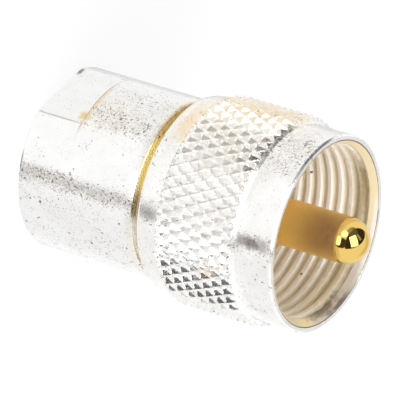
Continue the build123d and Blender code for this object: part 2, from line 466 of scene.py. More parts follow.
class Surface:
    """What every finish starts from: a material, its shader and the place of each point."""

    def __init__(self, name: str) -> None:
        """Make the material.

        Args:
            name: The material's name.
        """
        self.material = bpy.data.materials.new(name)
        self.material.use_nodes = True
        self.sketch = Sketch(self.material.node_tree)
        self.shader = self.material.node_tree.nodes["Principled BSDF"]
        coordinates = self.sketch.node("ShaderNodeTexCoord")
        where = Whereabouts().place(self.sketch, Object_Point=coordinates.outputs["Object"])
        self.point, self.azimuth = where["Point"], where["Azimuth"]
        self.radius, self.height = where["Radius"], where["Height"]

    def set(self, **values: object) -> None:
        """Write values on the shader's sockets.

        Args:
            **values: A value for each input, by its name with _ for a space.
        """
        for name, value in values.items():
            self.sketch.feed(self.shader.inputs[name.replace("_", " ")], value)

    def patch(self, spec: PatchSpec, noise: Socket) -> Socket:
        """Place a patch.

        Args:
            spec: Where it is and how soft.
            noise: What makes its edge ragged.

        Returns:
            The mask's socket, up to the patch's strength.
        """
        mask = Patch().place(
            self.sketch,
            Azimuth=self.azimuth,
            Height=self.height,
            Centre_Azimuth=spec.azimuth,
            Centre_Height=spec.height,
            Half_Azimuth=spec.half_azimuth,
            Half_Height=spec.half_height,
            Softness=spec.softness,
            Ragged=spec.ragged,
            Noise=noise,
        )["Mask"]
        return self.sketch.math("MULTIPLY", mask, spec.strength)

    def bump(self, height: Socket, depth: float, normal: Optional[Socket] = None) -> Socket:
        """Turn a height into a normal.

        Args:
            height: The socket of the height, from 0 to 1.
            depth: What a height of 1 stands for, in millimetres.
            normal: A normal to start from.

        Returns:
            The normal's socket.
        """
        made = self.sketch.node("ShaderNodeBump")
        made.inputs["Strength"].default_value = 1.0
        made.inputs["Distance"].default_value = depth * SCALE
        self.sketch.feed(made.inputs["Height"], height)
        if normal is not None:
            self.sketch.feed(made.inputs["Normal"], normal)
        return made.outputs[0]


@dataclass(frozen=True)
class Wear:
    """The marks in the plating, each from 0 to 1, and the height of the pitted surface."""

    pits: Socket
    pit_height: Socket
    specks: Socket
    scratches: Socket


@dataclass(frozen=True)
class PlateFinish:
    """Bright plating over brass: cloudy, pitted, scratched, and stained in places, with painted
    light and shade in places.
    """

    name: str
    colour: Colour
    cloud_colour: Colour
    pit_colour: Colour = (0.13, 0.115, 0.10)
    speck_colour: Colour = (0.58, 0.51, 0.42)
    roughness: float = 0.12
    pit_scale: float = 4.2
    pit_amount: float = 0.25
    pit_depth: float = 0.012
    pit_share: float = 0.55
    pit_strength: float = 0.8
    pit_roughness: float = 0.35
    speck_scale: float = 7.0
    speck_share: float = 1.1
    speck_base: float = 0.05
    speck_strength: float = 0.55
    grain_depth: float = 0.0088
    scratch_amount: float = 0.5
    scratch_strength: float = 0.45
    curl_base: float = 0.1
    haze: float = 0.12
    lathe_rings: float = 9.0
    lathe_depth: float = 0.0008
    matt_roughness: float = 0.07
    matt_metal_loss: float = 0.62
    # Patches with more pits; the one along 63 degrees draws a painted dark reflection streak.
    pits_and_painted_streak: tuple[PatchSpec, ...] = ()
    # Patches with fewer pits; those along 40 to 42 degrees paint a highlight.
    smooth: tuple[PatchSpec, ...] = ()
    matt: tuple[PatchSpec, ...] = ()
    # Colour patches: stains, and in places painted light and shade.
    stains_and_painted_light: tuple[PatchSpec, ...] = ()
    groove_radius: float = 0.0
    groove_width: float = 0.10
    groove_metal_loss: float = 0.8
    # Knurl grooves: dust that is dirt, and white that is a painted highlight against their shade.
    groove_dirt_and_highlight: tuple[PatchSpec, ...] = ()
    lining: Optional["Lining"] = None

    def material(self) -> bpy.types.Material:
        """Build the material.

        Returns:
            The material, ready for a piece.
        """
        made = Surface(self.name)
        sketch = made.sketch
        ragged = sketch.noise(made.point, scale=1.6, detail=4.0, rough=0.6)
        clouds = sketch.noise(made.point, scale=0.55, detail=4.0, rough=0.55)
        wear = self.wear(made, ragged)
        colour, groove_dirt_and_highlight_share = self.coloured(made, wear, ragged, clouds)
        rough, metal = self.shone(made, wear, ragged, clouds, groove_dirt_and_highlight_share)
        if self.lining is not None:
            colour, rough, metal = self.lining.line(made, colour, rough, metal, ragged)
        normal = self.relief(made, wear)
        made.set(Base_Color=colour, Roughness=rough, Metallic=metal, Normal=normal)
        return made.material

    def wear(self, made: Surface, ragged: Socket) -> Wear:
        """Pit, speck and scratch the plating, more or less in the places named for it; a line of
        dense pits paints a dark reflection streak and fewer pits paint a highlight.

        Args:
            made: The surface it is for.
            ragged: Noise that makes the patches' edges ragged.

        Returns:
            The marks.
        """
        sketch = made.sketch
        amount: Value = self.pit_amount
        for spec in self.pits_and_painted_streak:
            amount = sketch.math("ADD", amount, made.patch(spec, ragged))
        for spec in self.smooth:
            less = sketch.rest(made.patch(spec, ragged), clamp=True)
            amount = sketch.math("MULTIPLY", amount, less)
        few = sketch.math("MULTIPLY", amount, self.pit_share)
        pits = Pits().place(
            sketch, Point=made.point, Scale=self.pit_scale, Amount=few, Cluster=0.9
        )
        more = sketch.plus(self.speck_base, amount, self.speck_share)
        specks = Pits().place(
            sketch, Point=made.point, Scale=self.speck_scale, Amount=more, Cluster=1.7
        )
        straight = Scratches().place(
            sketch,
            Point=made.point,
            Scale=3.0,
            Amount=self.scratch_amount,
            Turn=0.9,
            Stretch=(1.0, 1.0, 0.09),
            Gaps=1.3,
            Width=0.008,
        )["Mask"]
        curled = Scratches().place(
            sketch,
            Point=made.point,
            Scale=1.7,
            Amount=sketch.math("ADD", amount, self.curl_base),
            Turn=0.3,
            Stretch=(1.0, 1.0, 0.6),
            Gaps=2.6,
            Width=0.022,
        )["Mask"]
        scratches = sketch.math("MAXIMUM", straight, curled)
        return Wear(pits["Mask"], pits["Height"], specks["Mask"], scratches)

    def coloured(
        self, made: Surface, wear: Wear, ragged: Socket, clouds: Socket
    ) -> tuple[Socket, Value]:
        """Colour the plating: clouds, then stains and painted light, then dirt and a painted
        highlight in the knurl's grooves, then marks.

        Args:
            made: The surface it is for.
            wear: Its marks.
            ragged: Noise that makes the patches' edges ragged.
            clouds: Noise that clouds the plating.

        Returns:
            The colour, and how far dirt and painted highlight cover the knurl's grooves.
        """
        sketch = made.sketch
        cloudy = sketch.ramp(clouds, low=0.38, high=0.68)
        colour = sketch.mix(cloudy, self.colour, self.cloud_colour)
        for spec in self.stains_and_painted_light:
            colour = sketch.mix(made.patch(spec, ragged), colour, spec.colour)
        groove_dirt_and_highlight_share: Value = 0.0
        if self.groove_dirt_and_highlight:
            groove_edge = self.groove_radius + self.groove_width
            low = sketch.ramp(made.radius, groove_edge, self.groove_radius)
            low = sketch.math("MULTIPLY", low, sketch.ramp(ragged, low=0.35, high=0.6))
            # White in the grooves is a painted highlight; dust in them is dirt.
            for spec in self.groove_dirt_and_highlight:
                groove_dirt_and_highlight_mask = sketch.math("MULTIPLY", low, made.patch(spec, ragged))
                colour = sketch.mix(groove_dirt_and_highlight_mask, colour, spec.colour)
                groove_dirt_and_highlight_share = sketch.math("MAXIMUM", groove_dirt_and_highlight_share, groove_dirt_and_highlight_mask)
        for mask, strength, mark in (
            (wear.specks, self.speck_strength, self.speck_colour),
            (wear.scratches, self.scratch_strength, self.pit_colour),
            (wear.pits, self.pit_strength, self.pit_colour),
        ):
            colour = sketch.mix(sketch.math("MULTIPLY", mask, strength), colour, mark)
        return colour, groove_dirt_and_highlight_share

    def shone(
        self, made: Surface, wear: Wear, ragged: Socket, clouds: Socket, groove_dirt_and_highlight_share: Value
    ) -> tuple[Socket, Value]:
        """Dull the plating in its pits, its matt patches and the grooves that carry dirt and
        painted highlight.

        Args:
            made: The surface it is for.
            wear: Its marks.
            ragged: Noise that makes the patches' edges ragged.
            clouds: Noise that varies the haze.
            groove_dirt_and_highlight_share: How far dirt and painted highlight cover the knurl's
                grooves.

        Returns:
            The roughness and the metallic value.
        """
        sketch = made.sketch
        rough = sketch.plus(self.roughness, sketch.centred(clouds), self.haze)
        rough = sketch.plus(rough, wear.pits, self.pit_roughness)
        metal: Value = 1.0
        if self.matt:
            matt: Value = 0.0
            for spec in self.matt:
                matt = sketch.math("ADD", matt, made.patch(spec, ragged), clamp=True)
            rough = sketch.plus(rough, matt, self.matt_roughness)
            metal = sketch.rest(sketch.math("MULTIPLY", matt, self.matt_metal_loss))
        if self.groove_dirt_and_highlight:
            loss = sketch.math("MULTIPLY", groove_dirt_and_highlight_share, self.groove_metal_loss)
            metal = sketch.math("MULTIPLY", metal, sketch.rest(loss))
        return rough, metal

    def relief(self, made: Surface, wear: Wear) -> Socket:
        """Raise the turning marks and the grain, and sink the pits.

        Args:
            made: The surface it is for.
            wear: Its marks.

        Returns:
            The normal's socket.
        """
        sketch = made.sketch
        lathe = LatheMarks().place(sketch, Point=made.point, Rings=self.lathe_rings)["Height"]
        grain = sketch.noise(made.point, self.speck_scale, rough=0.6)
        normal = made.bump(lathe, self.lathe_depth)
        normal = made.bump(grain, self.grain_depth, normal)
        return made.bump(wear.pit_height, self.pit_depth, normal)


@dataclass(frozen=True)
class Lining:
    """The nut's inside: plating gone cream, browner at the bottom of the thread."""

    outer_radius: float
    crest_radius: float
    root_radius: float
    crest_colour: Colour = (0.98, 0.95, 0.89)
    root_colour: Colour = (0.93, 0.85, 0.69)
    roughness: float = 0.42
    metallic: float = 0.1
    edge_fade: float = 0.02
    # A painted shade line along the bottom of the rim's small groove.
    shade_line_radius: float = 8.0
    shade_line_reach: float = 0.05
    shade_line_core_share: float = 0.6
    shade_line_height: float = 25.6
    shade_line_colour: Colour = (0.30, 0.25, 0.19)
    mouth_height: float = 25.05
    mouth_fade: float = 0.04
    mouth_colour: Colour = (0.77, 0.65, 0.42)
    stains_and_painted_light: tuple[PatchSpec, ...] = ()

    def line(
        self, made: Surface, colour: Socket, rough: Socket, metal: Value, noise: Socket
    ) -> tuple[Socket, Socket, Socket]:
        """Lay the lining over the outer finish, by radius.

        Args:
            made: The surface it is for.
            colour: The outer finish's colour.
            rough: The outer finish's roughness.
            metal: The outer finish's metallic value.
            noise: Noise that varies the tarnish.

        Returns:
            The colour, the roughness and the metallic value with the lining in them.
        """
        sketch = made.sketch
        inside = sketch.step(made.radius, self.outer_radius, -self.edge_fade)
        depth = sketch.ramp(made.radius, self.crest_radius, self.root_radius)
        depth = sketch.math("ADD", depth, sketch.centred(noise), clamp=True)
        lining = sketch.mix(depth, self.crest_colour, self.root_colour)
        mouth = sketch.step(made.height, self.mouth_height, self.mouth_fade)
        lining = sketch.mix(mouth, lining, self.mouth_colour)
        for spec in self.stains_and_painted_light:
            lining = sketch.mix(made.patch(spec, noise), lining, spec.colour)
        # Paint the shade line in the rim's small groove.
        off_shade_line = sketch.math("ABSOLUTE", sketch.math("SUBTRACT", made.radius, self.shade_line_radius))
        shade_line = sketch.ramp(off_shade_line, self.shade_line_reach, self.shade_line_reach * self.shade_line_core_share)
        near_rim = sketch.ramp(
            made.height, self.shade_line_height, self.shade_line_height + self.shade_line_reach
        )
        shade_line = sketch.math("MULTIPLY", shade_line, near_rim)
        outside = sketch.rest(inside)
        kept_rough = sketch.math("MULTIPLY", rough, outside)
        lined_rough = sketch.math("MULTIPLY", inside, self.roughness)
        kept_metal = sketch.math("MULTIPLY", metal, outside)
        lined_metal = sketch.math("MULTIPLY", inside, self.metallic)
        return (
            sketch.mix(shade_line, sketch.mix(inside, colour, lining), self.shade_line_colour),
            sketch.math("ADD", kept_rough, lined_rough),
            sketch.math("ADD", kept_metal, lined_metal),
        )


@dataclass(frozen=True)
class GoldFinish:
    """Gold plate on the contact: satin with painted shade on one side, polished on its nose."""

    name: str
    nose_height: float
    painted_shade: PatchSpec
    satin_colour: Colour = (0.97, 0.61, 0.165)
    painted_shade_colour: Colour = (0.24, 0.115, 0.05)
    nose_colour: Colour = (0.86, 0.585, 0.165)
    satin_roughness: float = 0.42
    satin_metal_loss: float = 0.4
    nose_roughness: float = 0.05
    nose_fade: float = 0.02
    painted_shade_base: float = 0.55
    painted_shade_spread: float = 0.6
    grain_base: float = 0.86
    grain_spread: float = 0.28
    grain_depth: float = 0.004

    def material(self) -> bpy.types.Material:
        """Build the material.

        Returns:
            The material, ready for a piece.
        """
        made = Surface(self.name)
        sketch = made.sketch
        clouds = sketch.noise(made.point, scale=0.8, detail=5.0, rough=0.6)
        grain = sketch.noise(made.point, scale=22.0, detail=2.0, rough=0.6)
        nose = sketch.step(made.height, self.nose_height, self.nose_fade)
        # Painted shade on the contact's side round 45 degrees, towards the nose.
        painted_shade_mask = sketch.plus(self.painted_shade_base, clouds, self.painted_shade_spread)
        painted_shade_mask = sketch.math("MULTIPLY", painted_shade_mask, made.patch(self.painted_shade, clouds))
        colour = sketch.mix(painted_shade_mask, self.satin_colour, self.painted_shade_colour)
        shade = sketch.plus(self.grain_base, grain, self.grain_spread)
        tone = sketch.node("ShaderNodeCombineColor")
        for target in tone.inputs:
            sketch.feed(target, shade)
        colour = sketch.mix(1.0, colour, tone.outputs[0], Mix.TIMES)
        colour = sketch.mix(nose, colour, self.nose_colour)
        satin = sketch.rest(nose)
        rough = sketch.plus(self.nose_roughness, satin, self.satin_roughness)
        metal = sketch.rest(sketch.math("MULTIPLY", satin, self.satin_metal_loss))
        height = sketch.math("MULTIPLY", grain, satin)
        normal = made.bump(height, self.grain_depth)
        made.set(Base_Color=colour, Roughness=rough, Metallic=metal, Normal=normal)
        return made.material


@dataclass(frozen=True)
class BrassFinish:
    """Bare brass, darkened unevenly to amber, with painted light and shade in places."""

    name: str
    bright: Colour = (1.0, 0.79, 0.24)
    dark: Colour = (0.62, 0.44, 0.18)
    roughness: float = 0.36
    metallic: float = 0.2
    cloud_roughness: float = 0.2
    speck_strength: float = 0.6
    speck_depth: float = 0.006
    stains_and_painted_light: tuple[PatchSpec, ...] = ()

    def material(self) -> bpy.types.Material:
        """Build the material.

        Returns:
            The material, ready for a piece.
        """
        made = Surface(self.name)
        sketch = made.sketch
        clouds = sketch.noise(made.point, scale=0.7, detail=4.0, rough=0.62)
        specks = sketch.noise(made.point, scale=6.0, detail=3.0, rough=0.6)
        colour = sketch.mix(sketch.ramp(clouds, low=0.40, high=0.70), self.bright, self.dark)
        darker = sketch.ramp(specks, low=0.58, high=0.70)
        darker = sketch.math("MULTIPLY", darker, self.speck_strength)
        colour = sketch.mix(darker, colour, self.dark)
        for spec in self.stains_and_painted_light:
            colour = sketch.mix(made.patch(spec, specks), colour, spec.colour)
        rough = sketch.plus(self.roughness, clouds, self.cloud_roughness)
        made.set(Base_Color=colour, Roughness=rough, Normal=made.bump(specks, self.speck_depth))
        made.shader.inputs["Metallic"].default_value = self.metallic
        return made.material


@dataclass(frozen=True)
class InsulatorFinish:
    """White fluoroplastic: waxy, with faint turning marks and a little dust."""

    name: str
    colour: Colour = (0.88, 0.87, 0.84)
    shade: Colour = (0.80, 0.78, 0.73)
    dust: Colour = (0.3, 0.27, 0.22)
    dust_strength: float = 0.5
    roughness: float = 0.38
    cloud_roughness: float = 0.15
    rings_per_mm: float = 9.0
    ring_depth: float = 0.006
    subsurface: float = 0.12
    subsurface_reach: float = 0.6

    def material(self) -> bpy.types.Material:
        """Build the material.

        Returns:
            The material, ready for a piece.
        """
        made = Surface(self.name)
        sketch = made.sketch
        clouds = sketch.noise(made.point, scale=1.1, detail=4.0, rough=0.6)
        specks = sketch.noise(made.point, scale=9.0, detail=2.0, rough=0.6)
        colour = sketch.mix(sketch.ramp(clouds, low=0.45, high=0.75), self.colour, self.shade)
        dusty = sketch.ramp(specks, low=0.66, high=0.74)
        dusty = sketch.math("MULTIPLY", dusty, self.dust_strength)
        colour = sketch.mix(dusty, colour, self.dust)
        spread = sketch.math("MULTIPLY", made.radius, self.rings_per_mm)
        rings = sketch.noise(spread, scale=1.0, detail=1.0)
        rough = sketch.plus(self.roughness, clouds, self.cloud_roughness)
        made.set(Base_Color=colour, Roughness=rough, Normal=made.bump(rings, self.ring_depth))
        made.shader.inputs["Subsurface Weight"].default_value = self.subsurface
        made.shader.inputs["Subsurface Scale"].default_value = self.subsurface_reach * SCALE
        return made.material


@dataclass(frozen=True)
class RubberFinish:
    """Black rubber: matt, slightly grained and dusty."""

    name: str
    colour: Colour = (0.030, 0.030, 0.032)
    dust: Colour = (0.12, 0.115, 0.105)
    roughness: float = 0.68
    grain_roughness: float = 0.2
    grain_depth: float = 0.012

    def material(self) -> bpy.types.Material:
        """Build the material.

        Returns:
            The material, ready for a piece.
        """
        made = Surface(self.name)
        sketch = made.sketch
        grain = sketch.noise(made.point, scale=12.0, detail=3.0, rough=0.6)
        clouds = sketch.noise(made.point, scale=1.5, detail=4.0, rough=0.6)
        colour = sketch.mix(sketch.ramp(clouds, low=0.5, high=0.8), self.colour, self.dust)
        rough = sketch.plus(self.roughness, grain, self.grain_roughness)
        made.set(Base_Color=colour, Roughness=rough, Normal=made.bump(grain, self.grain_depth))
        return made.material


# Turned meshes

Ring = list[bmesh.types.BMVert]


def link_object(name: str, data: bpy.types.ID) -> bpy.types.Object:
    """Put a mesh, a lamp or a camera in the scene.

    Args:
        name: The new object's name.
        data: The mesh, lamp or camera.

    Returns:
        The object.
    """
    made = bpy.data.objects.new(name, data)
    bpy.context.scene.collection.objects.link(made)
    return made


def mesh_object(name: str, mesh: bmesh.types.BMesh) -> bpy.types.Object:
    """Turn a finished mesh into an object.

    Args:
        name: The new object's name.
        mesh: The mesh, which is freed.

    Returns:
        The object.
    """
    data = bpy.data.meshes.new(name)
    mesh.to_mesh(data)
    mesh.free()
    return link_object(name, data)


class TurnedMesh:
    """A mesh made of rings of points round the Z axis."""

    def __init__(self, name: str) -> None:
        """Start an empty mesh.

        Args:
            name: The piece's name.
        """
        self.name = name
        self.mesh = bmesh.new()

    def ring(self, angles: Sequence[float], height: float, radius: Union[float, Callable]) -> Ring:
        """Add a ring of points.

        Args:
            angles: Where the points are, in radians.
            height: The ring's height, in millimetres.
            radius: Its radius, or a function of the angle that gives it.

        Returns:
            The points, in order.
        """
        points = []
        for angle in angles:
            reach = (radius(angle) if callable(radius) else radius) * SCALE
            points.append(
                self.mesh.verts.new(
                    (reach * math.cos(angle), reach * math.sin(angle), height * SCALE)
                )
            )
        return points

    def join(self, first: Ring, second: Ring, fold: Optional[Callable] = None) -> None:
        """Fill between two rings with as many points each.

        Args:
            first: The ring that lies behind, as seen along the outline.
            second: The next ring.
            fold: Says for each column whether its face folds from the first ring's point to the
                second's next one, and not the other way. Without it the faces stay whole.
        """
        count = len(first)
        for i in range(count):
            k = (i + 1) % count
            a, b, c, d = first[i], first[k], second[k], second[i]
            if fold is None:
                self.mesh.faces.new((a, b, c, d))
            elif fold(i):
                self.mesh.faces.new((a, b, c))
                self.mesh.faces.new((a, c, d))
            else:
                self.mesh.faces.new((a, b, d))
                self.mesh.faces.new((b, c, d))

    def extend(
        self, last: Ring, angles: Sequence[float], outline: Sequence[tuple[float, float]]
    ) -> Ring:
        """Go on from a ring along an outline.

        Args:
            last: The ring to start from.
            angles: Where the points of each ring are, in radians.
            outline: The radius and height of each further ring, in millimetres.

        Returns:
            The last ring.
        """
        for radius, height in outline:
            ring = self.ring(angles, height, radius)
            self.join(last, ring)
            last = ring
        return last

    def join_coarse(self, fine: Ring, coarse: Ring, inwards: bool) -> None:
        """Fill a flat face between a ring of many points and one of fewer.

        Args:
            fine: The ring with more points.
            coarse: The ring whose points the fine one divides evenly.
            inwards: Whether the outline goes from the fine ring to the coarse one.
        """
        share = len(fine) // len(coarse)
        for i, corner in enumerate(coarse):
            beyond = coarse[(i + 1) % len(coarse)]
            run = [fine[(share * i + j) % len(fine)] for j in range(share + 1)]
            points = run + [beyond, corner]
            self.mesh.faces.new(points if inwards else points[::-1])

    def close(self, ring: Ring, height: float, upwards: bool) -> None:
        """Close a ring with faces to a point on the axis.

        Args:
            ring: The ring to close.
            height: The height of the point on the axis.
            upwards: Whether the end faces +Z.
        """
        tip = self.mesh.verts.new((0, 0, height * SCALE))
        for i, corner in enumerate(ring):
            beyond = ring[(i + 1) % len(ring)]
            self.mesh.faces.new((corner, beyond, tip) if upwards else (beyond, corner, tip))

    def piece(self, sharp_degrees: float) -> bpy.types.Object:
        """Finish the mesh as an object.

        Args:
            sharp_degrees: Edges that turn more than this stay crisp.

        Returns:
            The object, linked to the scene.
        """
        bmesh.ops.recalc_face_normals(self.mesh, faces=self.mesh.faces)
        made = mesh_object(self.name, self.mesh)
        made.data.shade_smooth()
        made.data.set_sharp_from_angle(angle=math.radians(sharp_degrees))
        return made


def even_angles(count: int) -> list[float]:
    """Return that many angles, evenly round a turn."""
    return [math.tau * i / count for i in range(count)]


def quarter_arc(steps: int) -> list[float]:
    """Return the angles of a quarter turn in that many steps, both ends among them."""
    return [math.pi / 2 * i / steps for i in range(steps + 1)]


def dress(piece: bpy.types.Object, material: bpy.types.Material) -> None:
    """Give a piece one material.

    Args:
        piece: The object.
        material: Its material, in every slot it has.
    """
    if piece.material_slots:
        for slot in piece.material_slots:
            slot.material = material
    else:
        piece.data.materials.append(material)


# Sub-assemblies


@dataclass
class Knurl:
    """Diamond knurl: four-sided pyramids in rows that stand half a column apart."""

    columns: int
    rows: int
    first_height: float
    pitch: float
    peak_radius: float
    valley_radius: float
    tip_share: float = 0.88
    groove_share: float = 0.05
    steps: tuple[float, ...] = (0.0, 0.09, 0.3, 0.5, 0.7, 0.91)
    cell_slack: float = 1e-6
    angle_slack: float = 1e-4

    @cached_property
    def angles(self) -> list[float]:
        """The angles of the mesh's columns, which fall on every tip and groove."""
        half = math.pi / self.columns
        return [half * (i + step) for i in range(2 * self.columns) for step in self.steps]

    def cell(self, angle: float, height: float) -> tuple[float, float, bool]:
        """Find a point in its cell.

        Args:
            angle: Where it is round the nut, in radians.
            height: Where it is along the nut, in millimetres.

        Returns:
            Its place across and along the cell, from 0 to 1, and whether the cell's first
            corner is a tip.
        """
        across = angle * self.columns / math.pi
        along = (height - self.first_height) / self.pitch
        column = math.floor(across + self.cell_slack)
        row = math.floor(along + self.cell_slack)
        return across - column, along - row, (column + row) % 2 == 1

    def radius(self, angle: float, height: float) -> float:
        """Find how far out the knurled surface lies.

        Args:
            angle: Where the point is round the nut, in radians.
            height: Where it is along the nut, in millimetres.

        Returns:
            The radius, in millimetres.
        """
        across, along, from_tip = self.cell(angle, height)
        rise = abs(1 - across - along) if from_tip else abs(across - along)
        rise = (min(max(rise, self.groove_share), self.tip_share) - self.groove_share) / (
            self.tip_share - self.groove_share
        )
        return self.valley_radius + rise * (self.peak_radius - self.valley_radius)

    def folds_forward(self, column: int, height: float) -> bool:
        """Say which way a face between two rings folds, so that grooves stay crisp."""
        angle = self.angles[column] + self.angle_slack
        return not self.cell(angle, height)[2]


@dataclass
class Thread:
    """The coupling thread inside the nut: right-handed, with rounded crests and roots."""

    pitch: float = 25.4 / 24
    minor_radius: float = MINOR_RADIUS
    depth: float = 0.42
    phase: float = 0.35
    crest_share: float = 0.26
    root_share: float = 0.12
    fade_height: float = 25.0
    fade_length: float = 1.3
    faded: float = 0.3

    def radius(self, angle: float, height: float) -> float:
        """Find how far out the thread's surface lies.

        Args:
            angle: Where the point is round the nut, in radians.
            height: Where it is along the nut, in millimetres.

        Returns:
            The radius, in millimetres.
        """
        turn = (height / self.pitch - angle / math.tau - self.phase) % 1.0
        near_crest = abs(2 * turn - 1)
        rise = (near_crest - self.root_share) / (1 - self.crest_share - self.root_share)
        rise = min(max(rise, 0.0), 1.0)
        rise = rise * rise * (3 - 2 * rise)
        kept = min(max((self.fade_height - height) / self.fade_length, self.faded), 1.0)
        return self.minor_radius + self.depth * (1 - rise) * kept


@dataclass
class CouplingNut:
    """The captive nut: rounded shoulder, knurled cone, plain front band, threaded inside."""

    rear: float
    front: float
    peak_radius: float
    finish: PlateFinish
    rear_radius: float = 7.80
    shoulder_radius: float = 8.52
    shoulder_length: float = 0.55
    cone_radius: float = 8.84
    cone_length: float = 2.35
    band_radius: float = BAND_RADIUS
    band_waist: float = 0.05
    rim_chamfer: float = 0.15
    rim_edge: float = 0.02
    ridge_radius: float = 8.06
    ridge_groove: float = 0.10
    lip_step: float = 0.04
    lip_drop: float = 0.02
    mouth_drop: float = 0.03
    mouth_radius: float = 7.95
    mouth_length: float = 0.70
    relief_radius: float = 7.95
    relief_front: float = 3.40
    relief_slope: float = 0.50
    flange: float = 1.55
    flange_bore: float = 6.06
    relief_bevel: float = 0.15
    bore_bevel: float = 0.1
    knurl_lead: float = 0.45
    knurl_depth: float = 0.42
    knurl_end: float = 3.50
    knurl_chamfer: float = 1.05
    knurl_rear_slope: float = 1.3
    knurl_start: float = 0.002
    knurl_rear_clear: float = 0.05
    knurl_front_clear: float = 0.75
    run_out: float = 0.72
    run_out_step: float = 0.06
    run_out_rings: int = 13
    shoulder_steps: int = 8
    band_steps: int = 8
    sharp_degrees: float = 32.0
    inner_share: int = 3
    thread_steps: int = 20
    thread: Thread = field(default_factory=Thread)
    knurl: Knurl = field(init=False)

    def __post_init__(self) -> None:
        """Place the knurl on the cone."""
        self.knurl = Knurl(
            columns=53,
            rows=7,
            first_height=self.rear + self.cone_length + self.knurl_lead,
            pitch=1.005,
            peak_radius=self.peak_radius,
            valley_radius=self.peak_radius - self.knurl_depth,
        )

    def ramp(self, height: float) -> float:
        """Find how far out the knurl may reach where its ends are turned down.

        Args:
            height: Where it is along the nut, in millimetres.

        Returns:
            The largest radius, in millimetres.
        """
        rear = self.rear + self.cone_length
        front = self.front - self.knurl_end
        return min(
            self.cone_radius + (height - rear) * self.knurl_rear_slope,
            self.band_radius + max(front - height, 0.0) * self.knurl_chamfer,
        )

    def knurl_heights(self) -> list[float]:
        """List the heights of the knurled band's rings.

        Returns:
            The heights, in millimetres, from rear to front.
        """
        rear, front = self.rear + self.cone_length, self.front - self.knurl_end
        heights = [rear + self.knurl_start]
        for row in range(-1, self.knurl.rows + 1):
            for step in self.knurl.steps:
                height = self.knurl.first_height + (row + step) * self.knurl.pitch
                if rear + self.knurl_rear_clear < height < front - self.knurl_front_clear:
                    heights.append(height)
        run_out_rear = front - self.run_out
        return heights + [run_out_rear + self.run_out_step * i for i in range(self.run_out_rings)]

    def outside(self, mesh: TurnedMesh, angles: list[float]) -> tuple[Ring, Ring]:
        """Build the nut's outer surface.

        Args:
            mesh: The mesh that it goes into.
            angles: The angles of its columns.

        Returns:
            Its rearmost and frontmost rings, on the flat end faces.
        """
        rise = self.shoulder_radius - self.rear_radius
        cone_rear = self.rear + self.shoulder_length
        outline = [
            (self.rear_radius + rise * math.sin(a), cone_rear - self.shoulder_length * math.cos(a))
            for a in quarter_arc(self.shoulder_steps)
        ]
        outline.append((self.cone_radius, self.rear + self.cone_length))
        first = mesh.ring(angles, outline[0][1], outline[0][0])
        last, last_height = mesh.extend(first, angles, outline[1:]), outline[-1][1]

        for height in self.knurl_heights():
            limit = self.ramp(height)
            ring = mesh.ring(
                angles, height, lambda a, z=height, top=limit: min(self.knurl.radius(a, z), top)
            )
            middle = (last_height + height) / 2
            mesh.join(last, ring, lambda i, z=middle: self.knurl.folds_forward(i, z))
            last, last_height = ring, height

        band_rear, band_front = last_height, self.front - self.rim_chamfer
        band = []
        for i in range(1, self.band_steps + 1):
            share = i / self.band_steps
            waist = self.band_waist * math.sin(math.pi * share)
            band.append((self.band_radius - waist, band_rear + share * (band_front - band_rear)))
        chamfered = self.band_radius - self.rim_chamfer
        band.append((chamfered, self.front - self.rim_edge))
        band.append((chamfered - self.rim_edge, self.front))
        return first, mesh.extend(last, angles, band)

    def bore_radius(self, angle: float, height: float) -> float:
        """Find how far out the inner surface lies: mouth, thread or relief.

        Args:
            angle: Where the point is round the nut, in radians.
            height: Where it is along the nut, in millimetres.

        Returns:
            The radius, in millimetres.
        """
        mouth = self.mouth_radius - (self.front - height) * (
            (self.mouth_radius - self.thread.minor_radius) / self.mouth_length
        )
        relief = self.relief_radius - (
            height - (self.rear + self.flange + self.relief_front - self.relief_slope)
        )
        return max(self.thread.radius(angle, height), min(mouth, self.mouth_radius), relief)

    def inside(self, mesh: TurnedMesh, angles: list[float]) -> tuple[Ring, Ring]:
        """Build the nut's inner surface, from the mouth to the flange.

        Args:
            mesh: The mesh that it goes into.
            angles: The angles of its columns.

        Returns:
            Its frontmost and rearmost rings, on the flat end faces.
        """
        flange_front = self.rear + self.flange
        relief_top = flange_front + self.relief_front - self.relief_slope
        ridge = mesh.ring(angles, self.front, self.ridge_radius)
        lip = (
            (self.ridge_radius - self.lip_step, self.front - self.ridge_groove),
            (self.ridge_radius - 2 * self.lip_step, self.front - self.ridge_groove),
            (self.ridge_radius - 3 * self.lip_step, self.front - self.lip_drop),
            (self.mouth_radius, self.front - self.mouth_drop),
        )
        last = mesh.extend(ridge, angles, lip)
        step = self.thread.pitch / self.thread_steps
        count = int((self.front - relief_top) / step)
        for i in range(1, count):
            height = self.front - i * (self.front - relief_top) / count
            ring = mesh.ring(angles, height, lambda a, z=height: self.bore_radius(a, z))
            mesh.join(last, ring)
            last = ring
        flange = (
            (self.relief_radius, relief_top),
            (self.relief_radius, flange_front + self.relief_bevel),
            (self.relief_radius - self.relief_bevel, flange_front),
            (self.flange_bore + self.bore_bevel, flange_front),
            (self.flange_bore, flange_front - self.bore_bevel),
            (self.flange_bore, self.rear + self.bore_bevel),
            (self.flange_bore + self.bore_bevel, self.rear),
        )
        return ridge, mesh.extend(last, angles, flange)

    def build(self) -> bpy.types.Object:
        """Build and dress the nut.

        Returns:
            The nut, riding on its body.
        """
        mesh = TurnedMesh("coupling_nut_dressed")
        fine = self.knurl.angles
        coarse = [fine[i] for i in range(0, len(fine), self.inner_share)]
        rear_outer, front_outer = self.outside(mesh, fine)
        front_inner, rear_inner = self.inside(mesh, coarse)
        mesh.join_coarse(front_outer, front_inner, inwards=True)
        mesh.join_coarse(rear_outer, rear_inner, inwards=False)
        nut = mesh.piece(self.sharp_degrees)
        dress(nut, self.finish.material())
        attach(nut, "nut")
        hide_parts("coupling_nut")
        return nut


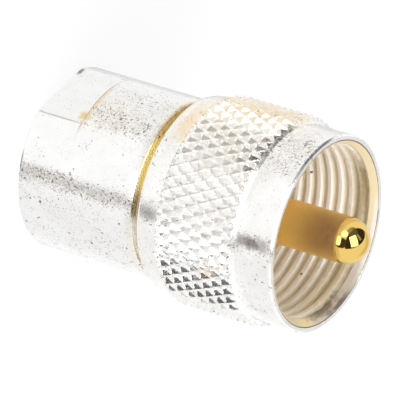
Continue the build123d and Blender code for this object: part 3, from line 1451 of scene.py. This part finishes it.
@dataclass
class RearShell:
    """The barrel behind the nut, with two wrench flats at its cable end."""

    front: float
    radius: float
    finish: PlateFinish
    flat_reach: float = 7.15
    flat_length: float = 4.45
    edge: float = 0.12
    bore_radius: float = 6.36
    step_height: float = 8.80
    spigot_bore_radius: float = 5.62
    bore_bevel: float = 0.15
    spigot_bevel: float = 0.1
    flat_step: float = 0.01
    column_count: int = 240
    spare_share: float = 0.35
    least_cosine: float = 1e-6
    edge_steps: int = 4
    body_steps: int = 6
    sharp_degrees: float = 28.0

    def angles(self) -> list[float]:
        """Space the mesh's columns evenly, with one on each long edge of the flats.

        Returns:
            The columns' angles, in radians.
        """
        reach = math.acos(self.flat_reach / self.radius)
        edges = [
            (turn * math.pi + side * reach) % math.tau
            for turn in (0, 1)
            for side in (-1, 1)
        ]
        spare = self.spare_share * math.tau / self.column_count
        kept = [
            a
            for a in even_angles(self.column_count)
            if all(abs((a - e + math.pi) % math.tau - math.pi) > spare for e in edges)
        ]
        return sorted(kept + edges)

    def cut(self, radius: float) -> Callable[[float], float]:
        """Return the radius at each angle of a circle that the two flats cut."""
        return lambda angle: min(
            radius, self.flat_reach / max(abs(math.cos(angle)), self.least_cosine)
        )

    def build(self) -> bpy.types.Object:
        """Build and dress the shell.

        Returns:
            The shell, riding on its body.
        """
        angles = self.angles()
        mesh = TurnedMesh("rear_shell_dressed")
        edge = self.edge
        arc = quarter_arc(self.edge_steps)
        rounded_rear = [
            (self.radius - edge * (1 - math.sin(a)), edge * (1 - math.cos(a))) for a in arc
        ]
        rounded_front = [
            (self.radius - edge * (1 - math.cos(a)), self.front - edge * (1 - math.sin(a)))
            for a in arc
        ]
        rings = [mesh.ring(angles, 0.0, self.bore_radius + self.bore_bevel)]
        rings += [mesh.ring(angles, height, self.cut(radius)) for radius, height in rounded_rear]
        flat_end = self.flat_length - self.flat_step
        rings.append(mesh.ring(angles, flat_end, self.cut(self.radius)))
        rings.append(mesh.ring(angles, self.flat_length + self.flat_step, self.radius))
        run = self.front - edge - self.flat_length
        for i in range(1, self.body_steps):
            height = self.flat_length + run * i / self.body_steps
            rings.append(mesh.ring(angles, height, self.radius))
        rings += [mesh.ring(angles, height, radius) for radius, height in rounded_front]
        for radius, height in (
            (self.spigot_bore_radius + self.spigot_bevel, self.front),
            (self.spigot_bore_radius, self.front - self.spigot_bevel),
            (self.spigot_bore_radius, self.step_height),
            (self.bore_radius, self.step_height),
            (self.bore_radius, self.bore_bevel),
        ):
            rings.append(mesh.ring(angles, height, radius))
        for behind, ahead in zip(rings, rings[1:] + rings[:1]):
            mesh.join(behind, ahead)
        shell = mesh.piece(self.sharp_degrees)
        dress(shell, self.finish.material())
        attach(shell, "connector_body")
        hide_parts("rear_shell")
        return shell


@dataclass
class ContactPin:
    """The centre contact: solder cup, collar, shank, straight pin and round nose."""

    rear: float
    tip: float
    finish: GoldFinish
    pin_radius: float = PIN_RADIUS
    shank_radius: float = 2.21
    collar_radius: float = 2.65
    tail_radius: float = 1.28
    cup_radius: float = 0.70
    cup_depth: float = 3.0
    collar_rear: float = 11.6
    collar_front: float = 12.4
    shank_front: float = 14.9
    column_count: int = 96
    nose_rings: int = 24
    side_steps: int = 8
    soft_edge: float = 0.08
    cup_cone: float = 0.1
    sharp_degrees: float = 32.0

    def build(self) -> bpy.types.Object:
        """Build and dress the contact.

        Returns:
            The contact, riding on its body.
        """
        angles = even_angles(self.column_count)
        mesh = TurnedMesh("contact_pin_dressed")
        soft = self.soft_edge
        steps = self.side_steps
        nose_centre = self.tip - self.pin_radius
        outline = [
            (self.cup_radius, self.rear + self.cup_depth),
            (self.cup_radius, self.rear + soft),
            (self.cup_radius + soft, self.rear),
            (self.tail_radius - soft, self.rear),
            (self.tail_radius, self.rear + soft),
            (self.tail_radius, self.collar_rear),
            (self.collar_radius - soft, self.collar_rear),
            (self.collar_radius, self.collar_rear + soft),
            (self.collar_radius, self.collar_front - soft),
            (self.collar_radius - soft, self.collar_front),
            (self.shank_radius, self.collar_front),
            (self.shank_radius, self.shank_front - soft),
            (self.shank_radius - soft, self.shank_front),
            (self.pin_radius, self.shank_front),
        ]
        outline += [
            (self.pin_radius, self.shank_front + (nose_centre - self.shank_front) * i / steps)
            for i in range(1, steps)
        ]
        outline += [
            (self.pin_radius * math.cos(a), nose_centre + self.pin_radius * math.sin(a))
            for a in quarter_arc(self.nose_rings)[:-1]
        ]
        first = mesh.ring(angles, outline[0][1], outline[0][0])
        last = mesh.extend(first, angles, outline[1:])
        mesh.close(first, self.rear + self.cup_depth - self.cup_cone, upwards=False)
        mesh.close(last, self.tip, upwards=True)
        pin = mesh.piece(self.sharp_degrees)
        dress(pin, self.finish.material())
        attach(pin, "connector_body")
        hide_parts("contact_pin")
        return pin


@dataclass
class CarriedPieces:
    """The pieces whose CAD shape is right: they keep it and get their finish."""

    finishes: dict[str, bpy.types.Material]

    def build(self) -> None:
        """Give each of them its material."""
        for node, material in self.finishes.items():
            dress(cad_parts[node], material)
            log.info("%s keeps its CAD shape, finish %s", node, material.name)


# Light, floor and camera


@dataclass(frozen=True)
class Gaze:
    """The direction that a ray looks in, also as azimuth and elevation in degrees."""

    direction: Socket
    azimuth: Socket
    elevation: Socket


@dataclass(frozen=True)
class TentPanel:
    """A soft-edged part of the light tent, seen from the plug."""

    azimuth: float
    elevation: float
    half_azimuth: float
    half_elevation: float
    level: float
    softness: float = 0.25

    def mask(self, sketch: Sketch, gaze: Gaze) -> Value:
        """Find where the panel is seen.

        Args:
            sketch: The world's node tree.
            gaze: Where the ray looks.

        Returns:
            1 inside the panel and 0 outside it.
        """
        return Patch().place(
            sketch,
            Azimuth=gaze.azimuth,
            Height=gaze.elevation,
            Centre_Azimuth=self.azimuth,
            Centre_Height=self.elevation,
            Half_Azimuth=self.half_azimuth,
            Half_Height=self.half_elevation,
            Softness=self.softness,
            Ragged=0.0,
            Noise=0.5,
        )["Mask"]


@dataclass(frozen=True)
class TentWindow:
    """A turned rectangle of the light tent, flat like a softbox, seen from the plug."""

    azimuth: float
    elevation: float
    turn: float
    half_width: float
    half_height: float
    level: float
    softness: float = 0.1
    least_depth: float = 1e-4

    def mask(self, sketch: Sketch, gaze: Gaze) -> Value:
        """Find where the rectangle is seen.

        Args:
            sketch: The world's node tree.
            gaze: Where the ray looks.

        Returns:
            1 inside the rectangle and 0 outside it.
        """
        turned = (
            Matrix.Rotation(math.radians(self.azimuth), 3, "Z")
            @ Matrix.Rotation(math.radians(-self.elevation), 3, "Y")
            @ Matrix.Rotation(math.radians(self.turn), 3, "X")
        )
        ahead, across, upwards = (
            sketch.vector("DOT_PRODUCT", gaze.direction, tuple(column)).outputs["Value"]
            for column in turned.col
        )
        depth = sketch.math("MAXIMUM", ahead, self.least_depth)
        mask: Value = sketch.math("GREATER_THAN", ahead, 0.0)
        for reach, half in ((across, self.half_width), (upwards, self.half_height)):
            part = sketch.math("ABSOLUTE", sketch.math("DIVIDE", reach, depth))
            part = sketch.math("DIVIDE", part, math.tan(math.radians(half)))
            mask = sketch.math("MULTIPLY", mask, sketch.ramp(part, 1.0, 1.0 - self.softness))
        return mask


@dataclass(frozen=True)
class LightTent:
    """The pale tent round the plug, with darker and brighter parts that its metal mirrors."""

    base: float
    panels: tuple[TentPanel | TentWindow, ...]

    def build(self) -> None:
        """Set the scene's world."""
        world = bpy.data.worlds.new("light_tent")
        bpy.context.scene.world = world
        world.use_nodes = True
        tree = world.node_tree
        tree.nodes.clear()
        sketch = Sketch(tree)
        direction = sketch.node("ShaderNodeTexCoord").outputs["Generated"]
        parts = sketch.node("ShaderNodeSeparateXYZ")
        sketch.feed(parts.inputs[0], direction)
        x, y, z = parts.outputs
        gaze = Gaze(
            direction,
            azimuth=sketch.math("DEGREES", sketch.math("ARCTAN2", y, x)),
            elevation=sketch.math("DEGREES", sketch.math("ARCSINE", z)),
        )
        level: Value = self.base
        for panel in self.panels:
            mask = panel.mask(sketch, gaze)
            keep = sketch.math("MULTIPLY", level, sketch.rest(mask))
            level = sketch.plus(keep, mask, panel.level)
        seen = sketch.node("ShaderNodeLightPath").outputs["Is Camera Ray"]
        unseen = sketch.math("MULTIPLY", level, sketch.rest(seen))
        strength = sketch.plus(unseen, seen, Lightness.BACKDROP.value)
        glow = sketch.node("ShaderNodeBackground")
        sketch.feed(glow.inputs["Strength"], strength)
        glow.inputs["Color"].default_value = (1.0, 1.0, 1.0, 1.0)
        leave = sketch.node("ShaderNodeOutputWorld")
        sketch.feed(leave.inputs["Surface"], glow.outputs[0])


@dataclass(frozen=True)
class Floor:
    """The pale floor that the plug stands on."""

    half_size: float = 900.0
    colour: Colour = (0.86, 0.86, 0.86)

    def build(self) -> bpy.types.Object:
        """Build the floor.

        Returns:
            The floor.
        """
        mesh = bmesh.new()
        half = self.half_size * SCALE
        signs = ((-1, -1), (1, -1), (1, 1), (-1, 1))
        corners = [mesh.verts.new((x * half, y * half, 0)) for x, y in signs]
        mesh.faces.new(corners)
        floor = mesh_object("floor", mesh)
        dress(floor, self.material())
        floor.visible_glossy = False
        return floor

    def material(self) -> bpy.types.Material:
        """Build a pale matt finish that shows near white to the camera and keeps its shadows.

        Returns:
            The material.
        """
        material = bpy.data.materials.new("floor")
        material.use_nodes = True
        tree = material.node_tree
        tree.nodes.clear()
        sketch = Sketch(tree)
        matt = sketch.node("ShaderNodeBsdfDiffuse")
        sketch.feed(matt.inputs["Color"], self.colour)
        glow = sketch.node("ShaderNodeEmission")
        glow.inputs["Strength"].default_value = Lightness.BACKDROP.value
        seen = sketch.node("ShaderNodeLightPath").outputs["Is Camera Ray"]
        blend = sketch.node("ShaderNodeMixShader")
        sketch.feed(blend.inputs[0], sketch.math("MULTIPLY", seen, Lightness.FLOOR_GLOW.value))
        sketch.feed(blend.inputs[1], matt.outputs[0])
        sketch.feed(blend.inputs[2], glow.outputs[0])
        leave = sketch.node("ShaderNodeOutputMaterial")
        sketch.feed(leave.inputs["Surface"], blend.outputs[0])
        return material


@dataclass(frozen=True)
class SoftLamp:
    """A large, weak area lamp."""

    name: str
    azimuth: float
    elevation: float
    distance: float
    size: float
    power: float
    target_height: float = 15.0

    def build(self) -> bpy.types.Object:
        """Place the lamp, aimed at the plug's middle.

        Returns:
            The lamp.
        """
        data = bpy.data.lights.new(self.name, "AREA")
        data.shape, data.size, data.energy = "DISK", self.size * SCALE, self.power
        lamp = link_object(self.name, data)
        a, e = math.radians(self.azimuth), math.radians(self.elevation)
        outwards = Vector((math.cos(e) * math.cos(a), math.cos(e) * math.sin(a), math.sin(e)))
        target = Vector((0, 0, self.target_height))
        lamp.location = (outwards * self.distance + target) * SCALE
        lamp.rotation_euler = outwards.to_track_quat("Z", "Y").to_euler()
        lamp.visible_glossy = False
        return lamp


@dataclass(frozen=True)
class PhotoCamera:
    """The photograph's camera, placed so that the nut's rim centre falls on a given pixel."""

    azimuth: float = 46.0
    elevation: float = 30.2
    roll: float = 106.942
    focal_length: float = 490.698
    film_width: float = 36.0
    picture_width: float = 400.0
    rim_pixel: tuple[float, float] = (325.83, 233.74)
    rim_depth: float = 450.0
    rim_height: float = 25.7
    clip_metres: tuple[float, float] = (0.01, 10.0)

    def build(self) -> bpy.types.Object:
        """Build the camera and make it the scene's.

        Returns:
            The camera.
        """
        data = bpy.data.cameras.new("photo_camera")
        data.lens, data.sensor_width = self.focal_length, self.film_width
        data.sensor_fit = "HORIZONTAL"
        data.clip_start, data.clip_end = self.clip_metres
        camera = link_object("photo_camera", data)
        turn = (
            Matrix.Rotation(math.radians(self.azimuth + 90), 3, "Z")
            @ Matrix.Rotation(math.radians(90 - self.elevation), 3, "X")
            @ Matrix.Rotation(math.radians(self.roll), 3, "Z")
        )
        focal_pixels = self.focal_length / self.film_width * self.picture_width
        middle = self.picture_width / 2
        across = (self.rim_pixel[0] - middle) / focal_pixels
        down = (self.rim_pixel[1] - middle) / focal_pixels
        ray = Vector((across, -down, -1)) * self.rim_depth
        place = (Vector((0, 0, self.rim_height)) - turn @ ray) * SCALE
        camera.matrix_world = Matrix.Translation(place) @ turn.to_4x4()
        bpy.context.scene.camera = camera
        return camera


# What the photograph shows, in degrees round the plug and millimetres along it. A PatchSpec's
# numbers are azimuth, height, half azimuth, half height, softness, raggedness and strength.

SILVER: Colour = (0.935, 0.93, 0.925)
SILVER_CLOUD: Colour = (0.895, 0.89, 0.885)
AMBER: Colour = (0.80, 0.52, 0.16)
STRAW: Colour = (0.93, 0.84, 0.62)
GRIME: Colour = (0.17, 0.14, 0.11)
DUST: Colour = (0.50, 0.42, 0.32)
NUT_SILVER: Colour = (0.94, 0.935, 0.925)
NUT_CLOUD: Colour = (0.89, 0.875, 0.85)
SPOT: Colour = (0.08, 0.07, 0.06)

# Where the nut's lining starts, in from the band, and how deep its brown goes, in millimetres
LINING_EDGE = 0.48
LINING_DEPTH = 0.5
# How far the contact's painted shade reaches on either side of its middle
PAINTED_SHADE_REACH = 2.6

SHELL_FINISH = PlateFinish(
    name="silver_plate_shell",
    colour=SILVER,
    cloud_colour=SILVER_CLOUD,
    pit_amount=0.30,
    pits_and_painted_streak=(
        # Dense pits along 63 degrees draw a painted dark reflection streak, which runs on over the
        # nut.
        PatchSpec(63, 6.0, 6, 9.0, 0.6, 0.8, 0.6),
        PatchSpec(95, 6.0, 30, 9.0, 0.4, 1.0, 0.1),
        PatchSpec(6, 8.0, 19, 4.2, 0.3, 1.0, 0.30),
        PatchSpec(18, 8.0, 8, 4.2, 0.4, 1.0, 0.18),
        PatchSpec(55, 3.0, 5, 3.0, 0.4, 1.0, 0.42),
    ),
    smooth=(
        PatchSpec(0, 1.8, 26, 2.7, 0.1, 0.3, 0.7),
        # Fewer pits along 42 degrees paint a highlight, which runs on over the nut.
        PatchSpec(42, 6.0, 15, 9.0, 0.3, 0.6, 0.8),
    ),
    stains_and_painted_light=(
        PatchSpec(17.5, 4.1, 3.4, 0.42, 0.7, 1.6, 0.85, AMBER),
        PatchSpec(8, 4.6, 14, 0.25, 0.8, 1.6, 0.55, AMBER),
        PatchSpec(14, 6.5, 12, 2.5, 0.8, 1.2, 0.25, STRAW),
        PatchSpec(-6, 11.5, 26, 0.5, 0.8, 0.8, 0.5, STRAW),
        PatchSpec(94, 11.4, 22, 0.5, 0.8, 0.8, 0.25, STRAW),
        PatchSpec(0, 11.62, 19, 0.26, 0.4, 1.2, 0.9, (0.72, 0.58, 0.34)),
        # Yellow line along the joint at 34 degrees: a stain brightened into a painted highlight.
        PatchSpec(34, 11.58, 17, 0.2, 0.4, 1.0, 0.9, (1.0, 0.90, 0.60)),
        # Near-white at 98 degrees in the joint: painted light against the joint's shade.
        PatchSpec(98, 11.6, 22, 0.26, 0.5, 0.8, 0.9, (0.95, 0.92, 0.85)),
        # Dark patch in the joint at 65 degrees: the painted reflection streak.
        PatchSpec(65, 11.62, 8, 0.16, 0.5, 1.4, 0.9, (0.45, 0.37, 0.20)),
        # Dark lines along a flat's long edge and along the step where the flats end.
        PatchSpec(24.6, 2.2, 0.5, 2.3, 0.6, 1.4, 0.6, (0.42, 0.36, 0.30)),
        PatchSpec(0, 4.45, 24, 0.07, 0.6, 1.2, 0.85, (0.36, 0.26, 0.16)),
        PatchSpec(80, 2.3, 1.0, 0.13, 0.4, 1.0, 0.9, GRIME),
        PatchSpec(98, 4.9, 0.7, 0.09, 0.4, 1.0, 0.9, GRIME),
        PatchSpec(101, 7.1, 1.1, 0.12, 0.4, 1.2, 0.8, GRIME),
        PatchSpec(14, 7.6, 0.9, 0.12, 0.4, 1.0, 0.9, GRIME),
        PatchSpec(-21.5, 0.15, 3.0, 0.22, 0.5, 0.8, 0.8, GRIME),
        PatchSpec(56, 0.06, 5.0, 0.1, 0.5, 0.8, 0.9, GRIME),
    ),
)
PLATE_FINISH = PlateFinish(
    name="silver_plate",
    colour=SILVER,
    cloud_colour=SILVER_CLOUD,
    grain_depth=0.0016,
    pit_amount=0.1,
)
# A TentPanel's numbers are azimuth, elevation, half azimuth, half elevation, level and softness.
# A TentWindow's are azimuth, elevation, turn, half width, half height, level and softness.
TENT = LightTent(
    base=1.04,
    panels=(
        TentWindow(2.0, 10.0, 0.0, 89.0, 89.0, 0.04, 0.7),
        TentPanel(0.0, -33.0, 400.0, 58.0, 1.04, 0.03),
        TentPanel(0.0, -14.0, 400.0, 9.0, 0.80, 0.4),
        TentPanel(157.0, -8.0, 16.0, 7.0, 1.0, 0.3),
        TentPanel(-118.0, -34.0, 15.0, 24.0, 0.80, 0.5),
        TentPanel(141.0, -36.0, 42.0, 16.0, 0.97, 0.3),
        TentPanel(35.0, -38.0, 34.0, 17.0, 1.08, 0.08),
        TentPanel(-49.0, -38.0, 46.0, 17.0, 1.0, 0.12),
        TentPanel(80.0, -34.0, 6.5, 21.0, 0.80, 0.6),
        TentPanel(89.0, -52.0, 6.0, 8.0, 0.35, 0.6),
        TentPanel(-134.0, 31.0, 36.0, 13.0, 0.76, 0.5),
        TentWindow(-40.7, 63.0, -49.0, 19.0, 7.0, 0.42, 0.4),
        TentPanel(-11.0, 33.0, 29.0, 19.0, 0.14, 0.2),
        TentPanel(-8.0, 19.0, 17.0, 8.0, 0.40, 0.6),
        TentPanel(66.5, 5.0, 24.5, 24.0, 0.06, 0.08),
        TentPanel(20.0, 9.0, 14.0, 15.0, 2.8, 0.12),
        TentPanel(59.0, -9.0, 21.0, 11.5, 2.6, 0.1),
        TentWindow(36.0, 64.4, 42.0, 26.0, 19.0, 2.7, 0.1),
    ),
)
LAMPS = (
    SoftLamp("key_softbox", 105.0, 55.0, 420.0, 260.0, 0.7),
    SoftLamp("fill_softbox", -60.0, 50.0, 420.0, 260.0, 0.25),
)


def nut_finish(minor_radius: float, band_radius: float) -> PlateFinish:
    """Return the nut's finish.

    Args:
        minor_radius: The thread's inner radius, in millimetres.
        band_radius: The nut's outer radius in front of the knurl.

    Returns:
        The finish, with the cream lining inside the thread.
    """
    return PlateFinish(
        name="nut_plate",
        colour=NUT_SILVER,
        cloud_colour=NUT_CLOUD,
        pit_amount=0.22,
        pits_and_painted_streak=(
            # Denser pits along 63 degrees: the painted reflection streak from the shell.
            PatchSpec(63, 24.0, 6, 2.2, 0.6, 1.0, 0.5),
            PatchSpec(63, 13.2, 6, 1.0, 0.6, 1.0, 0.5),
            PatchSpec(4, 24.0, 17, 2.0, 0.5, 1.2, 0.52),
        ),
        # Fewer pits along 40 degrees paint the highlight from the shell.
        smooth=(PatchSpec(40, 24.0, 16, 2.2, 0.3, 0.6, 0.95),),
        matt=(
            PatchSpec(-10, 17.5, 38, 4.2, 0.26, 0.3, 0.75),
            PatchSpec(50, 18.2, 28, 4.2, 0.2, 0.3, 0.55),
            PatchSpec(110, 18.2, 34, 4.2, 0.2, 0.3, 0.1),
            PatchSpec(0, 25.72, 200, 0.15, 0.2, 0.2, 0.25),
        ),
        groove_radius=8.71,
        groove_dirt_and_highlight=(
            # White in the grooves at -6 and 108 degrees is a painted highlight; the dust at 50 is
            # dirt.
            PatchSpec(-6, 18.5, 34, 4.2, 0.3, 0.8, 1.0, (1.0, 1.0, 0.98)),
            PatchSpec(50, 18.5, 26, 3.9, 0.3, 0.8, 0.3, DUST),
            PatchSpec(108, 18.5, 32, 4.2, 0.3, 0.8, 1.0, (1.0, 1.0, 0.99)),
        ),
        stains_and_painted_light=(
            PatchSpec(-4, 12.5, 30, 0.45, 0.8, 0.8, 0.5, STRAW),
            PatchSpec(92, 12.5, 24, 0.45, 0.8, 0.8, 0.25, STRAW),
            # Near-white at 98 degrees: painted light against the joint's shade.
            PatchSpec(98, 12.36, 22, 0.10, 0.5, 0.8, 0.9, (0.94, 0.87, 0.72)),
            PatchSpec(-26, 18.0, 20, 4.2, 0.7, 1.6, 0.38, (0.88, 0.77, 0.60)),
            PatchSpec(0, 19.0, 26, 3.6, 0.7, 1.6, 0.22, STRAW),
            PatchSpec(2, 18.4, 22, 3.8, 0.5, 2.6, 0.2, (0.58, 0.48, 0.36)),
            PatchSpec(-22, 18.6, 12, 3.2, 0.8, 3.0, 0.35, (0.84, 0.62, 0.28)),
            PatchSpec(0, 12.38, 20, 0.13, 0.5, 1.0, 0.9, (0.74, 0.59, 0.32)),
            # Yellow at 36 degrees: a stain brightened into a painted highlight.
            PatchSpec(36, 12.38, 17, 0.11, 0.5, 0.8, 0.8, (1.0, 0.91, 0.66)),
            PatchSpec(4, 14.0, 13, 0.6, 0.8, 1.4, 0.7, (0.90, 0.68, 0.34)),
            PatchSpec(-10, 15.6, 16, 1.5, 0.7, 1.4, 0.35, STRAW),
            PatchSpec(88, 19.6, 4, 0.7, 0.8, 1.6, 0.5, (0.80, 0.64, 0.42)),
            # Grey patches at 63.5 and 64 degrees: the painted reflection streak from the shell.
            PatchSpec(63.5, 23.6, 3.0, 1.4, 0.7, 2.4, 0.85, (0.33, 0.31, 0.30)),
            PatchSpec(63.5, 23.8, 2.4, 0.5, 0.7, 1.6, 0.7, (0.24, 0.22, 0.21)),
            PatchSpec(64.0, 13.9, 3.0, 0.7, 0.8, 1.8, 0.4, (0.42, 0.41, 0.40)),
        ),
        lining=Lining(
            outer_radius=band_radius - LINING_EDGE,
            crest_radius=minor_radius,
            root_radius=minor_radius + LINING_DEPTH,
            stains_and_painted_light=(
                PatchSpec(-92, 24.2, 44, 0.55, 0.6, 1.0, 0.6, (0.64, 0.54, 0.33)),
                PatchSpec(-96.3, 19.36, 0.7, 0.08, 0.4, 0.6, 1.0, SPOT),
                PatchSpec(-164.9, 21.05, 0.8, 0.09, 0.4, 0.6, 1.0, SPOT),
                PatchSpec(-96, 24.8, 26, 0.24, 0.6, 1.2, 0.95, (0.24, 0.16, 0.06)),
                PatchSpec(-112, 24.2, 26, 0.7, 0.8, 1.8, 0.6, (0.50, 0.41, 0.22)),
                PatchSpec(-130, 24.9, 14, 0.15, 0.6, 1.2, 0.8, (0.36, 0.27, 0.12)),
                PatchSpec(170, 22.5, 26, 1.4, 0.8, 1.6, 0.45, (0.52, 0.43, 0.26)),
                PatchSpec(-165, 24.0, 30, 0.7, 0.8, 1.2, 0.65, (0.64, 0.53, 0.28)),
                PatchSpec(-168, 25.5, 40, 0.6, 0.4, 1.4, 0.85, (0.56, 0.50, 0.43)),
                PatchSpec(146, 25.4, 9, 0.4, 0.6, 1.0, 0.8, (0.86, 0.72, 0.40)),
                PatchSpec(-128, 25.68, 24, 0.2, 0.4, 0.8, 0.8, (0.82, 0.81, 0.78)),
                PatchSpec(172, 25.1, 15, 0.34, 0.7, 1.8, 0.92, (0.17, 0.12, 0.07)),
                PatchSpec(-177, 25.65, 10, 0.14, 0.7, 1.8, 0.9, (0.16, 0.12, 0.09)),
            ),
        ),
    )


def dress_plug() -> None:
    """Build and dress the plug's pieces, in order."""
    nut_low, nut_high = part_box("coupling_nut")
    shell_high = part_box("rear_shell")[1]
    pin_low, pin_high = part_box("contact_pin")
    pin_tip = pin_high.z / SCALE

    nut = CouplingNut(
        rear=nut_low.z / SCALE,
        front=nut_high.z / SCALE,
        peak_radius=nut_high.x / SCALE,
        finish=nut_finish(MINOR_RADIUS, BAND_RADIUS),
    ).build()
    log.info("%s: knurled outside, right-handed thread inside", nut.name)
    shell = RearShell(
        front=shell_high.z / SCALE,
        radius=shell_high.y / SCALE,
        finish=SHELL_FINISH,
    ).build()
    log.info("%s: barrel with two wrench flats", shell.name)
    pin = ContactPin(
        rear=pin_low.z / SCALE,
        tip=pin_tip,
        finish=GoldFinish(
            "gold_plate",
            nose_height=pin_tip - PIN_RADIUS,
            painted_shade=PatchSpec(45.0, pin_tip - PAINTED_SHADE_REACH, 70.0, PAINTED_SHADE_REACH, 0.8, 0.6, 1.0),
        ),
    ).build()
    log.info("%s: satin side, polished nose", pin.name)

    silver = PLATE_FINISH.material()
    brass = BrassFinish(
        "tarnished_brass",
        stains_and_painted_light=(
            PatchSpec(0, 11.9, 22, 1.0, 0.5, 0.8, 0.9, (0.96, 0.76, 0.40)),
            # Yellow at 36 degrees: a stain brightened into a painted highlight.
            PatchSpec(36, 11.9, 20, 1.0, 0.5, 0.6, 0.9, (1.0, 0.85, 0.36)),
            # Greyer patch at 67 degrees: the painted reflection streak crossing the washer.
            PatchSpec(67, 11.9, 8, 1.0, 0.6, 1.2, 0.9, (0.78, 0.66, 0.52)),
            # Near-white at 102 degrees: painted light against the joint's shade.
            PatchSpec(102, 11.9, 29, 1.0, 0.2, 0.6, 1.0, (1.0, 0.985, 0.95)),
            PatchSpec(45, 12.17, 13, 0.14, 0.4, 0.6, 0.9, (1.0, 0.96, 0.85)),
        ),
    ).material()
    white = InsulatorFinish("insulator_white").material()
    rubber = RubberFinish("gasket_rubber").material()
    CarriedPieces(
        {
            "gland_nut": silver,
            "pressure_washer": silver,
            "braid_clamp": silver,
            "front_barrel": silver,
            "cable_gasket": rubber,
            "rear_insulator": white,
            "front_insulator": white,
            "thrust_washer": brass,
        }
    ).build()


def main() -> None:
    """Build the looks of the plug, its floor, light and camera."""
    logging.basicConfig(level=logging.INFO, format="%(name)s: %(message)s")
    bpy.context.scene.view_settings.view_transform = "Standard"
    PhotoCamera().build()
    dress_plug()
    Floor().build()
    TENT.build()
    for lamp in LAMPS:
        lamp.build()


if __name__ == "__main__":
    main()
